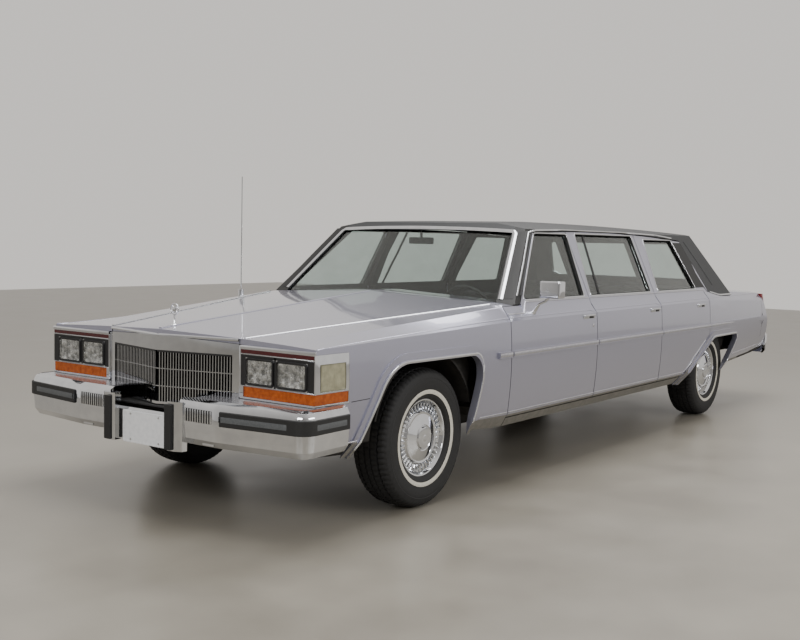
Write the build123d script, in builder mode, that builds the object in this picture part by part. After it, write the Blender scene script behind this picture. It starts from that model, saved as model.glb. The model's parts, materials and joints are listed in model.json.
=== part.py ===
from build123d import *
import os

# Six-door limousine with a padded formal roof, in millimetres.
# +X is forward, +Y is the car's left, +Z is up, and z = 0 is the ground.
# Places along the car are worked out from the axles and the door seams.

# Lengths that can be set by themselves
front_overhang = 1085
rear_overhang = 1440
axle_to_front_seam = 704
front_door_length = 1064
middle_door_length = 1031
rear_door_length = 950
rear_seam_to_axle = 201
wheelbase = (axle_to_front_seam + front_door_length + middle_door_length
             + rear_door_length + rear_seam_to_axle)
total_length = front_overhang + wheelbase + rear_overhang

front_axle = total_length / 2 - front_overhang
rear_axle = front_axle - wheelbase
front_seam = front_axle - axle_to_front_seam
middle_seam = front_seam - front_door_length
back_seam = middle_seam - middle_door_length
rear_seam = back_seam - rear_door_length

# Heights and half widths of the body
half_width = 957
belt_z = 1003
belt_half = half_width - 72
drip_z = 1412
drip_half = belt_half - 183
roof_z = 1472
sill_z = 322
door_bottom_z = 376

# Screw holes for the front plate
plate_hole_pitch = 177.8
plate_hole_radius = 3.5
plate_hole_z = 488

# Gaps and walls
seam_gap = 6
clear = 0.3
panel = 26
door_inner = half_width - 112
frame_wall = 44
glass_thickness = 5

# Wheels
tyre_radius = 350
tyre_width = 215
front_track = 1567
rear_track = 1542

# The outside mirror stands out on the driver's side only
mirror_reach = half_width + 143
side_moulding = 15
widest_right = half_width + side_moulding
centre_shift = -(mirror_reach - widest_right) / 2

# Past the side of the body, where cutting prisms end
beyond = half_width + 143

pieces = {}


def keep(name, builder):
    builder.part.label = name
    pieces[name] = builder


def mirrored(builder):
    with BuildPart() as other:
        mirror(builder.part, about=Plane.XZ)
    return other


def both_sides(name, builder):
    keep("left_" + name, builder)
    keep("right_" + name, mirrored(builder))


# A prism across the car: the outline is drawn in side view
def side_prism(points, near, far, radius=0):
    with BuildPart() as prism:
        with BuildSketch(Plane.XZ.offset(-far)) as face:
            Polygon(*points, align=None)
            if radius:
                fillet(face.vertices(), radius)
        extrude(amount=far - near)
    return prism.part


# A prism standing up: the outline is drawn in plan
def plan_prism(points, low, high):
    with BuildPart() as prism:
        with BuildSketch(Plane.XY.offset(low)):
            Polygon(*points, align=None)
        extrude(amount=high - low)
    return prism.part


# Lower body: one row for each cross section from nose to tail.
# Columns: x, then (how far in from half_width, z) at the sill, rocker, bulge,
# crease, belt and hood edge, and z on the centre line. The side from the
# rocker to the crease is an arc through the bulge.
nose = front_axle + 862
tail = rear_axle - 1310
body_rows = [
    (nose + 120, (107, 358), (72, 415), (59, 640), (64, 846), (257, 852), (545, 858), 886),
    (nose, (107, 358), (72, 415), (58, 640), (64, 849), (247, 858), (517, 868), 900),
    (front_seam, (57, sill_z), (19, 390), (0, 690), (12, 900), (69, 978), (151, 990), 1030),
    (rear_seam, (57, sill_z), (19, 390), (0, 695), (12, 918), (71, 996), (112, 1004), 1030),
    (tail, (95, 438), (67, 470), (28, 690), (45, 868), (89, 928), (157, 945), 960),
]


# The solid inside the skin, moved in by a side and a top allowance
def body_solid(side, top, ends):
    with BuildPart() as body:
        for row in body_rows:
            x = row[0]
            if row is body_rows[0]:
                x += ends
            if row is body_rows[-1]:
                x -= ends
            sill, rocker, bulge, crease, belt, edge = [(half_width - inset, z) for inset, z in row[1:7]]
            centre = (0, row[7] - top)
            half = [
                (sill[0] - side, sill[1] + side),
                (rocker[0] - side, max(rocker[1], sill[1] + side + 1)),
                (bulge[0] - side, bulge[1]),
                (crease[0] - side, crease[1] - top / 2),
                (belt[0] - side / 2, belt[1] - top),
                (edge[0], edge[1] - top),
            ]
            with BuildSketch(Plane.YZ.offset(x)):
                with BuildLine():
                    for hand in (1, -1):
                        low, rock, bulk, fold, waist, rim = [(hand * y, z) for y, z in half]
                        Line(low, rock)
                        ThreePointArc(rock, bulk, fold)
                        Polyline(fold, waist, rim, centre)
                    Line((half[0][0], half[0][1]), (-half[0][0], half[0][1]))
                make_face()
        loft(ruled=True)
    return body.part


# Everything ahead of the tail, which leans forward above the lamps
def ahead_of_tail(inset):
    x = tail + inset
    return side_prism([(x, 200), (x, 700), (x + 150, 960), (x + 230, 1100),
                       (nose + 300, 1100), (nose + 300, 200)], -beyond, beyond)


# Greenhouse: cross section swept along the car, cut by the slanted screens
screen_lean = Vector(-430, 0, 390)
back_lean = Vector(350, 0, 360)
screen_base = front_axle - 750
back_base = rear_axle - 380


def cabin_solid(inset, low):
    tumble = (belt_half - drip_half) / (drip_z - belt_z)
    base = belt_half + (belt_z - low) * tumble - inset
    shoulder = drip_half - inset
    bow = 185
    wide = beyond + 100
    far = total_length
    # where the screens meet the plane that the prisms start from
    front = screen_base - inset - screen_lean.X / screen_lean.Z * (belt_z - low)
    back = back_base + inset - back_lean.X / back_lean.Z * (belt_z - low)
    with BuildPart() as cabin:
        with BuildSketch(Plane.YZ.offset(-far / 2)):
            with BuildLine():
                Line((-base, low), (base, low))
                Line((base, low), (shoulder, drip_z))
                ThreePointArc((shoulder, drip_z), (0, roof_z + 6 - inset), (-shoulder, drip_z))
                Line((-shoulder, drip_z), (-base, low))
            make_face()
        extrude(amount=far)
        # the roof falls a little towards both ends
        with BuildSketch(Plane.XZ.offset(-wide)):
            with BuildLine():
                ends = (back_base - 300, screen_base + 300)
                Line((ends[0], low), (ends[1], low))
                Line((ends[1], low), (ends[1], roof_z - 84 - inset))
                ThreePointArc((ends[1], roof_z - 84 - inset), (middle_seam - 380, roof_z - inset),
                              (ends[0], roof_z - 118 - inset))
                Line((ends[0], roof_z - 118 - inset), (ends[0], low))
            make_face()
        extrude(amount=2 * wide, mode=Mode.INTERSECT)
        # each screen is a bowed face that leans along its own slope
        with BuildSketch(Plane.XY.offset(low)):
            with BuildLine():
                ThreePointArc((front - bow, -wide), (front, 0), (front - bow, wide))
                Polyline((front - bow, wide), (-far, wide), (-far, -wide), (front - bow, -wide))
            make_face()
        lean = screen_lean.normalized()
        extrude(amount=900, dir=lean, mode=Mode.INTERSECT)
        with BuildSketch(Plane.XY.offset(low)):
            with BuildLine():
                ThreePointArc((back + bow / 2, -wide), (back, 0), (back + bow / 2, wide))
                Polyline((back + bow / 2, wide), (far, wide), (far, -wide), (back + bow / 2, -wide))
            make_face()
        lean = back_lean.normalized()
        extrude(amount=900, dir=lean, mode=Mode.INTERSECT)
    return cabin.part


body_out = body_solid(0, 0, 0)
body_in = body_solid(panel, panel, 5)
body_over = body_solid(-clear, -clear, 5)
body_under = body_solid(panel + clear, panel + clear, 5)
# the bright moulding along the sides stands off the skin
moulding_front = front_axle - 570
moulding_low, moulding_high = 706, 740
moulding = body_solid(-side_moulding, 0, 0) & side_prism(
    [(moulding_front, moulding_low), (moulding_front, moulding_high), (tail + 130, moulding_high),
     (tail + 130, moulding_low)], half_width - 100, beyond)
cabin_out = cabin_solid(0, belt_z - 60)
cabin_in = cabin_solid(frame_wall, belt_z - 80)
glass_out = cabin_solid(15, belt_z - 60)
glass_in = cabin_solid(15 + glass_thickness, belt_z - 80)
post_out = cabin_solid(frame_wall + 8, belt_z - 60)
post_in = cabin_solid(frame_wall + 36, belt_z - 80)


# Door openings in side view, above the belt. The rear edge leans forward.
door_top_front = (front_axle - 1325, 1394)
door_top_back = (rear_seam + 118, 1368)
pillar_foot = front_seam - 190
back_foot = rear_seam - 90


def door_opening(gap):
    with BuildPart() as opening:
        with BuildSketch(Plane.XZ.offset(-beyond)):
            with BuildLine():
                Polyline((back_foot, belt_z - 10), (back_foot, belt_z - 120), (pillar_foot, belt_z - 120),
                         (pillar_foot, belt_z - 10), door_top_front)
                ThreePointArc(door_top_front, (middle_seam - 330, drip_z), door_top_back)
                Line(door_top_back, (back_foot, belt_z - 10))
            make_face()
            if gap:
                offset(amount=-gap, kind=Kind.INTERSECTION)
        extrude(amount=2 * beyond)
    return opening.part


# Outlines seen from the front, for the windshield and the rear window
def screen_outline(half_low, half_high, low, high, start, end, grow):
    with BuildPart() as prism:
        with BuildSketch(Plane.YZ.offset(start)) as face:
            Polygon((-half_low, low), (half_low, low), (half_high, high), (-half_high, high), align=None)
            fillet(face.vertices(), 30)
            if grow:
                offset(amount=grow)
        extrude(amount=end - start)
    return prism.part


# Door windows in side view, each with rounded corners
window_base = belt_z + 9
window_rows = [
    # front foot, front head, back head, back foot, head height
    (front_seam - 242, front_axle - 1352, middle_seam + 6, middle_seam + 62, 1384),
    (middle_seam - 38, middle_seam - 118, back_seam + 52, back_seam + 58, 1388),
    (back_seam - 80, back_seam - 150, rear_seam + 290, rear_seam + 148, 1366),
]


def window_prism(row, grow):
    foot, head, back_head, back_low, top = row
    with BuildPart() as prism:
        with BuildSketch(Plane.XZ.offset(-beyond)) as face:
            Polygon((foot, window_base), (head, top), (back_head, top), (back_low, window_base), align=None)
            fillet(face.vertices(), 16)
            if grow:
                offset(amount=grow)
        extrude(amount=beyond - 400)
    return prism.part


# Wheel arches in side view: corners measured from the axle, then corner radii
front_arch = [(-295, 200), (-405, 615), (-405, 744), (345, 744), (680, 200)]
front_arch_radii = [150, 95, 230]
rear_arch = [(-150, 200), (-245, 390), (-440, 585), (-440, 628), (125, 628), (415, 480), (880, 200)]
rear_arch_radii = [60, 60, 40, 240, 300]
flare_width, flare_proud = 50, 8
lip_width, lip_proud = 16, 6


def arch_prism(axle, corners, radii, grow=0, near=460):
    with BuildPart() as prism:
        with BuildSketch(Plane.XZ.offset(-beyond)):
            with BuildLine():
                points = [(axle + x, z) for x, z in corners]
                FilletPolyline(*points, radius=radii)
                Line(points[-1], points[0])
            make_face()
            if grow:
                offset(amount=grow)
        extrude(amount=beyond - near)
    return prism.part


front_arch_cut = arch_prism(front_axle, front_arch, front_arch_radii)
rear_arch_cut = arch_prism(rear_axle, rear_arch, rear_arch_radii)
flare_skin = body_solid(-flare_proud, 0, 0)
lip_skin = body_solid(-flare_proud - lip_proud, 0, 0)


# The skin steps outwards round each arch, and again at the bright lip
def arch_flare(axle, corners, radii):
    near = half_width - 150
    outer = flare_skin & arch_prism(axle, corners, radii, flare_width, near)
    inner = lip_skin & arch_prism(axle, corners, radii, lip_width, near)
    return outer + inner


front_flare = arch_flare(front_axle, front_arch, front_arch_radii)
rear_flare = arch_flare(rear_axle, rear_arch, rear_arch_radii)
# the rear door's lower corner follows the arch, one flare width outside it
corner_grow = flare_width + 12
rear_door_corner = arch_prism(rear_axle, rear_arch, rear_arch_radii, corner_grow)

# Hood edge in plan, from the grille corner to the cowl corner
hood_half_front = 440
hood_half_back = belt_half - 63
hood_back = front_axle - 785
hood_back_middle = front_axle - 682
hood_tip = nose + 95
hood_flare = (hood_half_back - hood_half_front) / (nose - hood_back)
hood_half_seam = hood_half_front + hood_flare * (nose - front_seam)

# Lamp bezels turn the front corners: the front fender is cut for them
bezel_low, bezel_high = 598, 826
bezel_side_back = front_axle + 645
bezel_face = front_axle + 872

# Front fender. Beside the tyres the skin has no bottom flange.
well_side = half_width - 60
tyre_back = front_axle - tyre_radius - 5
fender_back = front_seam + seam_gap / 2
with BuildPart() as fender:
    add(body_out)
    add(moulding)
    add(front_flare)
    add(plan_prism([(nose, hood_half_front + seam_gap / 2), (nose, beyond), (fender_back, beyond),
                    (fender_back, hood_half_seam + seam_gap / 2)], 250, 1200), mode=Mode.INTERSECT)
    add(body_in, mode=Mode.SUBTRACT)
    flange_rows = [(front_seam - 20, tyre_back, well_side), (tyre_back, front_axle, half_width - 31),
                   (front_axle, nose + 20, half_width - 97)]
    for back, ahead, far in flange_rows:
        add(side_prism([(back, 200), (back, 640), (ahead, 640), (ahead, 200)], 0, far), mode=Mode.SUBTRACT)
    add(front_arch_cut, mode=Mode.SUBTRACT)
    cut_back, cut_low, cut_high = bezel_side_back - clear, bezel_low - clear, bezel_high + clear
    add(side_prism([(cut_back, cut_low), (nose + 20, cut_low), (nose + 20, cut_high), (cut_back, cut_high)],
                   half_width - 97, beyond), mode=Mode.SUBTRACT)
both_sides("front_fender", fender)

# Hood: one skin with a pointed front edge above the grille
with BuildPart() as hood:
    add(body_out)
    with BuildSketch(Plane.XY.offset(760), mode=Mode.PRIVATE) as plan:
        with BuildLine():
            Polyline((hood_back, hood_half_back - seam_gap / 2), (nose, hood_half_front - seam_gap / 2),
                     (hood_tip, 0), (nose, -hood_half_front + seam_gap / 2),
                     (hood_back, -hood_half_back + seam_gap / 2))
            ThreePointArc((hood_back, -hood_half_back + seam_gap / 2), (hood_back_middle, 0),
                          (hood_back, hood_half_back - seam_gap / 2))
        make_face()
    extrude(plan.sketch, amount=500, mode=Mode.INTERSECT)
    add(body_in, mode=Mode.SUBTRACT)
keep("hood", hood)

# Cowl: the panel under the windshield and the firewall below it. Its corners
# carry the pillars' feet, so the front door stops short of them
firewall_x = front_seam + 90
cowl_corner = belt_half - 2
with BuildPart() as cowl:
    add(body_out)
    with BuildSketch(Plane.XY.offset(700), mode=Mode.PRIVATE) as plan:
        with BuildLine():
            back_edge = hood_back - seam_gap
            # beside the hood's back corners, which move forward as it opens
            swing_gap = seam_gap + 2
            inner = door_inner - seam_gap / 2
            foot_back = pillar_foot + seam_gap
            ThreePointArc((back_edge, hood_half_back), (hood_back_middle - seam_gap, 0),
                          (back_edge, -hood_half_back))
            for hand in (1, -1):
                Polyline((back_edge, hand * hood_half_back),
                         (back_edge, hand * (hood_half_back + swing_gap)),
                         (fender_back - clear, hand * (hood_half_seam + swing_gap)),
                         (fender_back - clear, hand * cowl_corner), (foot_back, hand * cowl_corner),
                         (foot_back, hand * inner), (pillar_foot - 60, hand * inner), (pillar_foot - 60, 0))
        make_face()
    extrude(plan.sketch, amount=500, mode=Mode.INTERSECT)
    add(body_in, mode=Mode.SUBTRACT)
    # tongues under the hood's back edge carry its hinges
    tongue_foot = hood_back_middle - 60
    for y in (-560, 560):
        add(body_under & plan_prism([(tongue_foot - 40, y - 25), (tongue_foot + 90, y - 25),
                                     (tongue_foot + 90, y + 25), (tongue_foot - 40, y + 25)], 948, 1100))
        with Locations((tongue_foot - 20, y, 975)):
            Box(40, 50, 14)
keep("cowl", cowl)

# Trunk lid and the body around it
lid_half = belt_half - 143
lid_front = back_base - 62
lid_low = 632
tail_out = ahead_of_tail(0)
tail_in = ahead_of_tail(panel)
body_in_tail = body_in & tail_in
with BuildPart() as trunk_lid:
    add(body_out)
    add(tail_out, mode=Mode.INTERSECT)
    with BuildSketch(Plane.XY.offset(lid_low), mode=Mode.PRIVATE) as plan:
        with BuildLine():
            ThreePointArc((lid_front + 30, lid_half), (lid_front, 0), (lid_front + 30, -lid_half))
            Polyline((lid_front + 30, -lid_half), (tail - 200, -lid_half), (tail - 200, lid_half),
                     (lid_front + 30, lid_half))
        make_face()
    extrude(plan.sketch, amount=600, mode=Mode.INTERSECT)
    add(body_in_tail, mode=Mode.SUBTRACT)
keep("trunk_lid", trunk_lid)

# Deck panel between the rear window and the lid, and the panel below the lid
with BuildPart() as rear_deck:
    add(body_out)
    with BuildSketch(Plane.XY.offset(800), mode=Mode.PRIVATE) as plan:
        with BuildLine():
            ThreePointArc((lid_front + 30 + seam_gap, lid_half), (lid_front + seam_gap, 0),
                          (lid_front + 30 + seam_gap, -lid_half))
            Polyline((lid_front + 30 + seam_gap, -lid_half), (back_base + 420, -lid_half),
                     (back_base + 420, lid_half), (lid_front + 30 + seam_gap, lid_half))
        make_face()
    extrude(plan.sketch, amount=400, mode=Mode.INTERSECT)
    add(body_in, mode=Mode.SUBTRACT)
    # tongues under the lid's front edge carry its hinges
    for y in (-500, 500):
        add(body_under & plan_prism([(lid_front - 60, y - 25), (lid_front + 80, y - 25),
                                     (lid_front + 80, y + 25), (lid_front - 60, y + 25)], 930, 1100))
        with Locations((lid_front + 60, y, 965)):
            Box(40, 50, 24)
keep("rear_deck", rear_deck)

with BuildPart() as tail_panel:
    add(body_out)
    add(tail_out, mode=Mode.INTERSECT)
    add(plan_prism([(tail - 100, -lid_half), (tail - 100, lid_half), (tail + panel, lid_half),
                    (tail + panel, -lid_half)], 200, lid_low - seam_gap), mode=Mode.INTERSECT)
    add(body_in_tail, mode=Mode.SUBTRACT)
keep("tail_panel", tail_panel)

# Rear quarter with the arch, from the rear door's seam to the tail
quarter_front = rear_seam - seam_gap / 2
quarter_inner = lid_half + seam_gap
quarter_corner = arch_prism(rear_axle, rear_arch, rear_arch_radii, corner_grow - seam_gap, quarter_inner)
with BuildPart() as quarter:
    add(body_out)
    add(moulding)
    add(rear_flare)
    add(tail_out, mode=Mode.INTERSECT)
    add(side_prism([(tail - 100, 431), (tail - 100, 1200), (quarter_front, 1200), (quarter_front, 376)],
                   quarter_inner, beyond) + quarter_corner, mode=Mode.INTERSECT)
    add(body_in_tail, mode=Mode.SUBTRACT)
    add(rear_arch_cut, mode=Mode.SUBTRACT)
    # no bottom flange: it stops at the trunk floor's edge, and at the wheel well
    well_back = rear_axle - 500
    flange_rows = [(tail + 10, well_back, half_width - 107), (well_back, rear_seam + 600, well_side)]
    for back, ahead, far in flange_rows:
        add(side_prism([(back, 200), (back, 520), (ahead, 520), (ahead, 200)], quarter_inner - 50, far),
            mode=Mode.SUBTRACT)
both_sides("quarter_panel", quarter)

# Roof with windshield pillars and sail panels
rail_proud = 9
rail_wide = 12
cabin_shell = cabin_out - cabin_in
screen_row = (belt_half - 85, drip_half - 70, 940, 1396, front_axle - 2000, front_axle)
back_row = (belt_half - 217, drip_half - 142, 1060, 1340, rear_axle - 900, rear_axle + 300)
screen_cut = screen_outline(*screen_row, 0)
back_cut = screen_outline(*back_row, 0)
with BuildPart() as roof:
    add(cabin_shell)
    add(door_opening(0), mode=Mode.SUBTRACT)
    add(screen_cut, mode=Mode.SUBTRACT)
    add(back_cut, mode=Mode.SUBTRACT)
    # a rain rail stands off the skin round the door opening
    rail = cabin_solid(-rail_proud, belt_z - 60) & (door_opening(-rail_wide) - door_opening(0))
    add((rail - cabin_out) & plan_prism([(door_top_back[0], -beyond), (door_top_back[0], beyond),
                                         (front_axle, beyond), (front_axle, -beyond)], belt_z + 30, 1500))
    add(body_over, mode=Mode.SUBTRACT)
    # the pillars' feet end above the front doors' shoulders
    foot_x = pillar_foot - 2
    for near, far in ((cowl_corner, beyond), (-beyond, -cowl_corner)):
        add(plan_prism([(foot_x, near), (foot_x, far), (front_axle, far), (front_axle, near)],
                       belt_z - 80, belt_z - 17), mode=Mode.SUBTRACT)
keep("roof", roof)

# Windshield and rear window, bowed glass set back from the skin
glass_shell = glass_out - glass_in
with BuildPart() as windshield:
    add(glass_shell)
    add(screen_outline(*screen_row, -clear), mode=Mode.INTERSECT)
    add(body_over, mode=Mode.SUBTRACT)
keep("windshield", windshield)
with BuildPart() as rear_window:
    add(glass_shell)
    add(screen_outline(*back_row, -clear), mode=Mode.INTERSECT)
keep("rear_window", rear_window)

# Doors. Columns: name, front seam, back seam
door_rows = [
    ("front", front_seam, middle_seam),
    ("middle", middle_seam, back_seam),
    ("rear", back_seam, rear_seam),
]
tumble = Vector(0, drip_half - belt_half, drip_z - belt_z).normalized()
door_frames = cabin_shell & door_opening(seam_gap)
for row, (place, ahead, behind) in zip(window_rows, door_rows):
    front_x = ahead - seam_gap / 2
    back_x = behind + seam_gap / 2
    # the back edge leaves more room on its inner side, for the swing
    relief = 16
    frame_back = back_x if place != "rear" else back_foot
    with BuildPart() as door:
        add(body_out)
        add(moulding)
        add(plan_prism([(front_x, door_inner), (front_x, beyond), (back_x, beyond), (back_x, half_width),
                        (back_x + relief, door_inner)], door_bottom_z, belt_z + 40), mode=Mode.INTERSECT)
        if place == "front":
            corner = cowl_corner + seam_gap
            ahead_x = front_x + 10
            add(plan_prism([(pillar_foot, 0), (pillar_foot, corner), (ahead_x, corner), (ahead_x, 0)],
                           belt_z - 70, belt_z + 100), mode=Mode.SUBTRACT)
        if place == "rear":
            # the corner over the arch steps back on its inner side, for the swing
            add(rear_door_corner, mode=Mode.SUBTRACT)
            for inset, grow in ((26, 7), (62, 14)):
                room = arch_prism(rear_axle, rear_arch, rear_arch_radii, corner_grow + grow)
                side = half_width - inset
                add(room & plan_prism([(rear_axle, 0), (rear_axle, side), (back_seam, side), (back_seam, 0)],
                                      200, belt_z), mode=Mode.SUBTRACT)
        add(door_frames & plan_prism([(front_x, 500), (front_x, beyond), (back_x, beyond), (back_x, 500)],
                                     belt_z - 62, 1500))
        if place == "rear":
            # the black filler behind the seam stands on the quarter
            add((door_frames - body_over) & plan_prism([(back_x, 500), (back_x, beyond), (back_foot, beyond),
                                                        (back_foot, 500)], belt_z - 62, 1500))
        add(window_prism(row, 0), mode=Mode.SUBTRACT)
        # the same room at the back edge of the window frame, along its slope
        with BuildSketch(Plane(origin=(frame_back, belt_half, belt_z), x_dir=(1, 0, 0), z_dir=tumble)):
            Polygon((-3, 2), (0, 2), (relief, -frame_wall - 6), (-3, -frame_wall - 6), align=None)
        extrude(amount=500, mode=Mode.SUBTRACT)
    both_sides(place + "_door", door)
    with BuildPart() as pane:
        add(glass_shell)
        add(window_prism(row, -clear), mode=Mode.INTERSECT)
    both_sides(place + "_door_glass", pane)

# Side frame: sill, hinge post and the posts between the doors
hinge_heights = (480, 820)
sill_inner = door_inner - 55
post_y = door_inner - 45
front_post_y = door_inner - 33
post_half = 20
with BuildPart() as side_frame:
    add(body_out)
    add(side_prism([(front_seam - seam_gap / 2, 250), (front_seam - seam_gap / 2, door_bottom_z - seam_gap),
                    (rear_axle + 640, door_bottom_z - seam_gap), (rear_axle + 640, 250)],
                   sill_inner, beyond), mode=Mode.INTERSECT)
    add(rear_door_corner, mode=Mode.SUBTRACT)
    for seam in (middle_seam, back_seam):
        with BuildSketch(Plane.XY.offset(sill_z + 20)):
            with Locations((seam, post_y)):
                Rectangle(80, 2 * post_half)
        extrude(amount=belt_z - sill_z - 20)
        post_box = [(seam - 36, 500), (seam - 36, belt_half), (seam + 36, belt_half), (seam + 36, 500)]
        add((post_out - post_in) & plan_prism(post_box, belt_z - 3, drip_z))
    with BuildSketch(Plane.XY.offset(sill_z + 20)):
        with Locations((front_seam + 5, front_post_y)):
            Rectangle(110, 50)
    extrude(amount=belt_z - 100 - sill_z - 20)
    # hinge leaves, two to a door, reach from the posts to the doors
    for seam, post in ((front_seam, front_post_y + 25), (middle_seam, post_y + post_half),
                       (back_seam, post_y + post_half)):
        for z in hinge_heights:
            with Locations((seam - 24, (post + door_inner - clear) / 2, z)):
                Box(30, door_inner - clear - post, 60)
both_sides("side_frame", side_frame)



# A plate closes the wheel well between the wheel house and the arch's outline
def well_plate(axle, corners, radii, hole, outer, back, ahead, low):
    with BuildPart() as plate:
        add(arch_prism(axle, corners, radii, 24) & body_under)
        add(plan_prism([(back, outer - 6), (back, outer), (ahead, outer), (ahead, outer - 6)], low, 780),
            mode=Mode.INTERSECT)
        with Locations((axle, outer, tyre_radius)):
            Cylinder(hole, 60, rotation=(90, 0, 0), mode=Mode.SUBTRACT)
    return plate.part


# Floor from the firewall back over the rear axle, with the wheel houses
trunk_floor_z = 480
floor_mid_z = 345
floor_half = door_inner - 65
floor_sheet = 22
rail_kick_z = tyre_radius + 140
tub_z = rail_kick_z + 70
house_gap = 26
house_wall = 16
house_inner, house_outer = rear_track / 2 - 149, door_inner - seam_gap
with BuildPart() as floor_pan:
    with BuildSketch(Plane.XZ.offset(-floor_half)):
        with BuildLine():
            Polyline((firewall_x, 930), (firewall_x, 430), (firewall_x - 220, floor_mid_z),
                     (rear_axle + 330, floor_mid_z), (rear_axle + 250, tub_z), (rear_axle - 400, tub_z),
                     (rear_axle - 440, trunk_floor_z), (tail + panel + clear, trunk_floor_z))
        trace(line_width=floor_sheet)
    extrude(amount=2 * floor_half)
    for side in (-1, 1):
        with BuildSketch(Plane.XZ.offset(-side * (house_inner + house_outer) / 2)):
            with Locations((rear_axle, tyre_radius)):
                Circle(tyre_radius + house_gap + house_wall)
        extrude(amount=(house_outer - house_inner) / 2, both=True)
    for side in (-1, 1):
        with BuildSketch(Plane.XZ.offset(-side * (house_inner + 208))):
            with Locations((rear_axle, tyre_radius)):
                Circle(tyre_radius + house_gap)
        extrude(amount=200, both=True, mode=Mode.SUBTRACT)
    for side in (-1, 1):
        with BuildSketch(Plane.XY.offset(-100)):
            with Locations((rear_axle, side * (house_inner + 178))):
                Rectangle(900, 360)
        extrude(amount=tyre_radius + 190, mode=Mode.SUBTRACT)
    rear_plate = well_plate(rear_axle, rear_arch, rear_arch_radii, tyre_radius + house_gap, house_outer,
                            rear_axle - 500, rear_axle + 630, floor_mid_z - 11)
    add(rear_plate)
    mirror(rear_plate, about=Plane.XZ)
keep("floor_pan", floor_pan)

# Front wheel houses, standing on the frame rails
apron_y = 430
apron_wall = 13
rail_top_front = 484
with BuildPart() as wheel_houses:
    for side in (-1, 1):
        with BuildSketch(Plane.XZ.offset(-side * (apron_y + 225))):
            with Locations((front_axle, tyre_radius)):
                Circle(tyre_radius + 92)
        extrude(amount=225, both=True)
    for side in (-1, 1):
        with BuildSketch(Plane.XZ.offset(-side * (apron_y + apron_wall + 300))):
            with Locations((front_axle, tyre_radius)):
                Circle(tyre_radius + 80)
        extrude(amount=300, both=True, mode=Mode.SUBTRACT)
    with BuildSketch(Plane.XY.offset(-100)):
        with Locations((front_axle, 0)):
            Rectangle(1000, 2200)
    extrude(amount=100 + rail_top_front + clear, mode=Mode.SUBTRACT)
    front_plate = well_plate(front_axle, front_arch, front_arch_radii, tyre_radius + 80, half_width - 101,
                             front_axle - 500, front_axle + 690, floor_mid_z - 11)
    add(front_plate)
    mirror(front_plate, about=Plane.XZ)
keep("wheel_houses", wheel_houses)

# Ladder frame under the floor, kicked up over the rear axle
bumper_face = front_axle + front_overhang - 40
rear_bumper_x = rear_axle - rear_overhang
bumper_wall = 24
mount_back = front_axle + front_overhang - 127
rail_half = 44
rail_y = 415
rail_width = 70
rail_z = floor_mid_z - 11 - clear - rail_half
gearbox_low = rail_z - rail_half + 2
rail_back_z = 385
rear_mount_x = rear_bumper_x + 62
rail_front_z = rail_top_front - rail_half
rail_path = [
    (mount_back - clear, rail_front_z), (front_axle + 300, rail_front_z), (front_axle - 420, rail_z),
    (rear_axle + 300, rail_z), (rear_axle + 130, rail_kick_z), (rear_axle - 200, rail_kick_z),
    (rear_axle - 420, rail_back_z), (rear_mount_x, rail_back_z),
]
with BuildPart() as frame_rails:
    for side in (-1, 1):
        with BuildSketch(Plane.XZ.offset(-side * rail_y - rail_width / 2)):
            with BuildLine():
                Polyline(*rail_path)
            trace(line_width=2 * rail_half)
        extrude(amount=rail_width)
    for x, z in ((nose - 90, 440), (front_axle - 900, gearbox_low - clear - 13), (rear_axle + 1400, 315),
                 (rear_axle + 700, 315), (rear_axle - 170, rail_kick_z + 15), (tail + 60, rail_back_z)):
        with Locations((x, 0, z)):
            Box(60, 2 * rail_y, 26)
keep("frame_rails", frame_rails)

# Engine with its gearbox, as one plain block
with BuildPart() as engine:
    with Locations((front_axle - 60, 0, 610)):
        Box(800, 440, 400)
    with Locations((front_axle - 700, 0, gearbox_low + 42)):
        Box(520, 240, 84)
    with Locations((front_axle - 400, 0, gearbox_low + 97)):
        Box(180, 240, 194)
keep("engine", engine)

# Front suspension: crossmember between the rails, arms, towers and springs
king_y = 715
king_radius = 18
rail_outer = rail_y + rail_width / 2
rail_inner = rail_y - rail_width / 2
arm_low, arm_high = tyre_radius - 124, tyre_radius - 100
tower_z = rail_top_front - 18
tower_half = 30
upper_arm_z = rail_top_front - 2
upper_arm_half = 12
spring_y = 515
with BuildPart() as front_suspension:
    beam_top = rail_top_front - 74 - clear
    with Locations((front_axle, 0, (arm_high + beam_top) / 2)):
        Box(180, 2 * (rail_inner - clear), beam_top - arm_high)
    spring_top = tower_z - tower_half + 4
    for side in (-1, 1):
        with Locations((front_axle, side * 535, (arm_low + arm_high) / 2)):
            Box(90, 390, arm_high - arm_low)
        with Locations((front_axle, side * (rail_outer + clear + 62), tower_z)):
            Box(140, 124, 2 * tower_half)
        with Locations((front_axle, side * 630, upper_arm_z)):
            Box(70, 200, 2 * upper_arm_half)
        with Locations((front_axle, side * spring_y, (arm_high + spring_top) / 2)):
            Cylinder(50, spring_top - arm_high)
keep("front_suspension", front_suspension)

# Knuckle with its spindle, turning about an upright king pin
hub_inset = 58
with BuildPart() as knuckle:
    foot = arm_high + clear
    head = upper_arm_z - upper_arm_half - clear
    with Locations((front_axle, king_y, (foot + head) / 2)):
        Cylinder(king_radius, head - foot)
    spindle = front_track / 2 + hub_inset - clear - king_y
    with Locations((front_axle, king_y + spindle / 2, tyre_radius)):
        Cylinder(30, spindle, rotation=(90, 0, 0))
    with Locations((front_axle - 72, king_y - 8, tyre_radius - 50)):
        Box(144, 20, 30)
both_sides("knuckle", knuckle)


# Wheels: the rim with its cover, and the tyre, turned about the axle line
def wheel_plane(x):
    return Plane(origin=(x, 0, tyre_radius), x_dir=(0, 1, 0), z_dir=(1, 0, 0))


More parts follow.
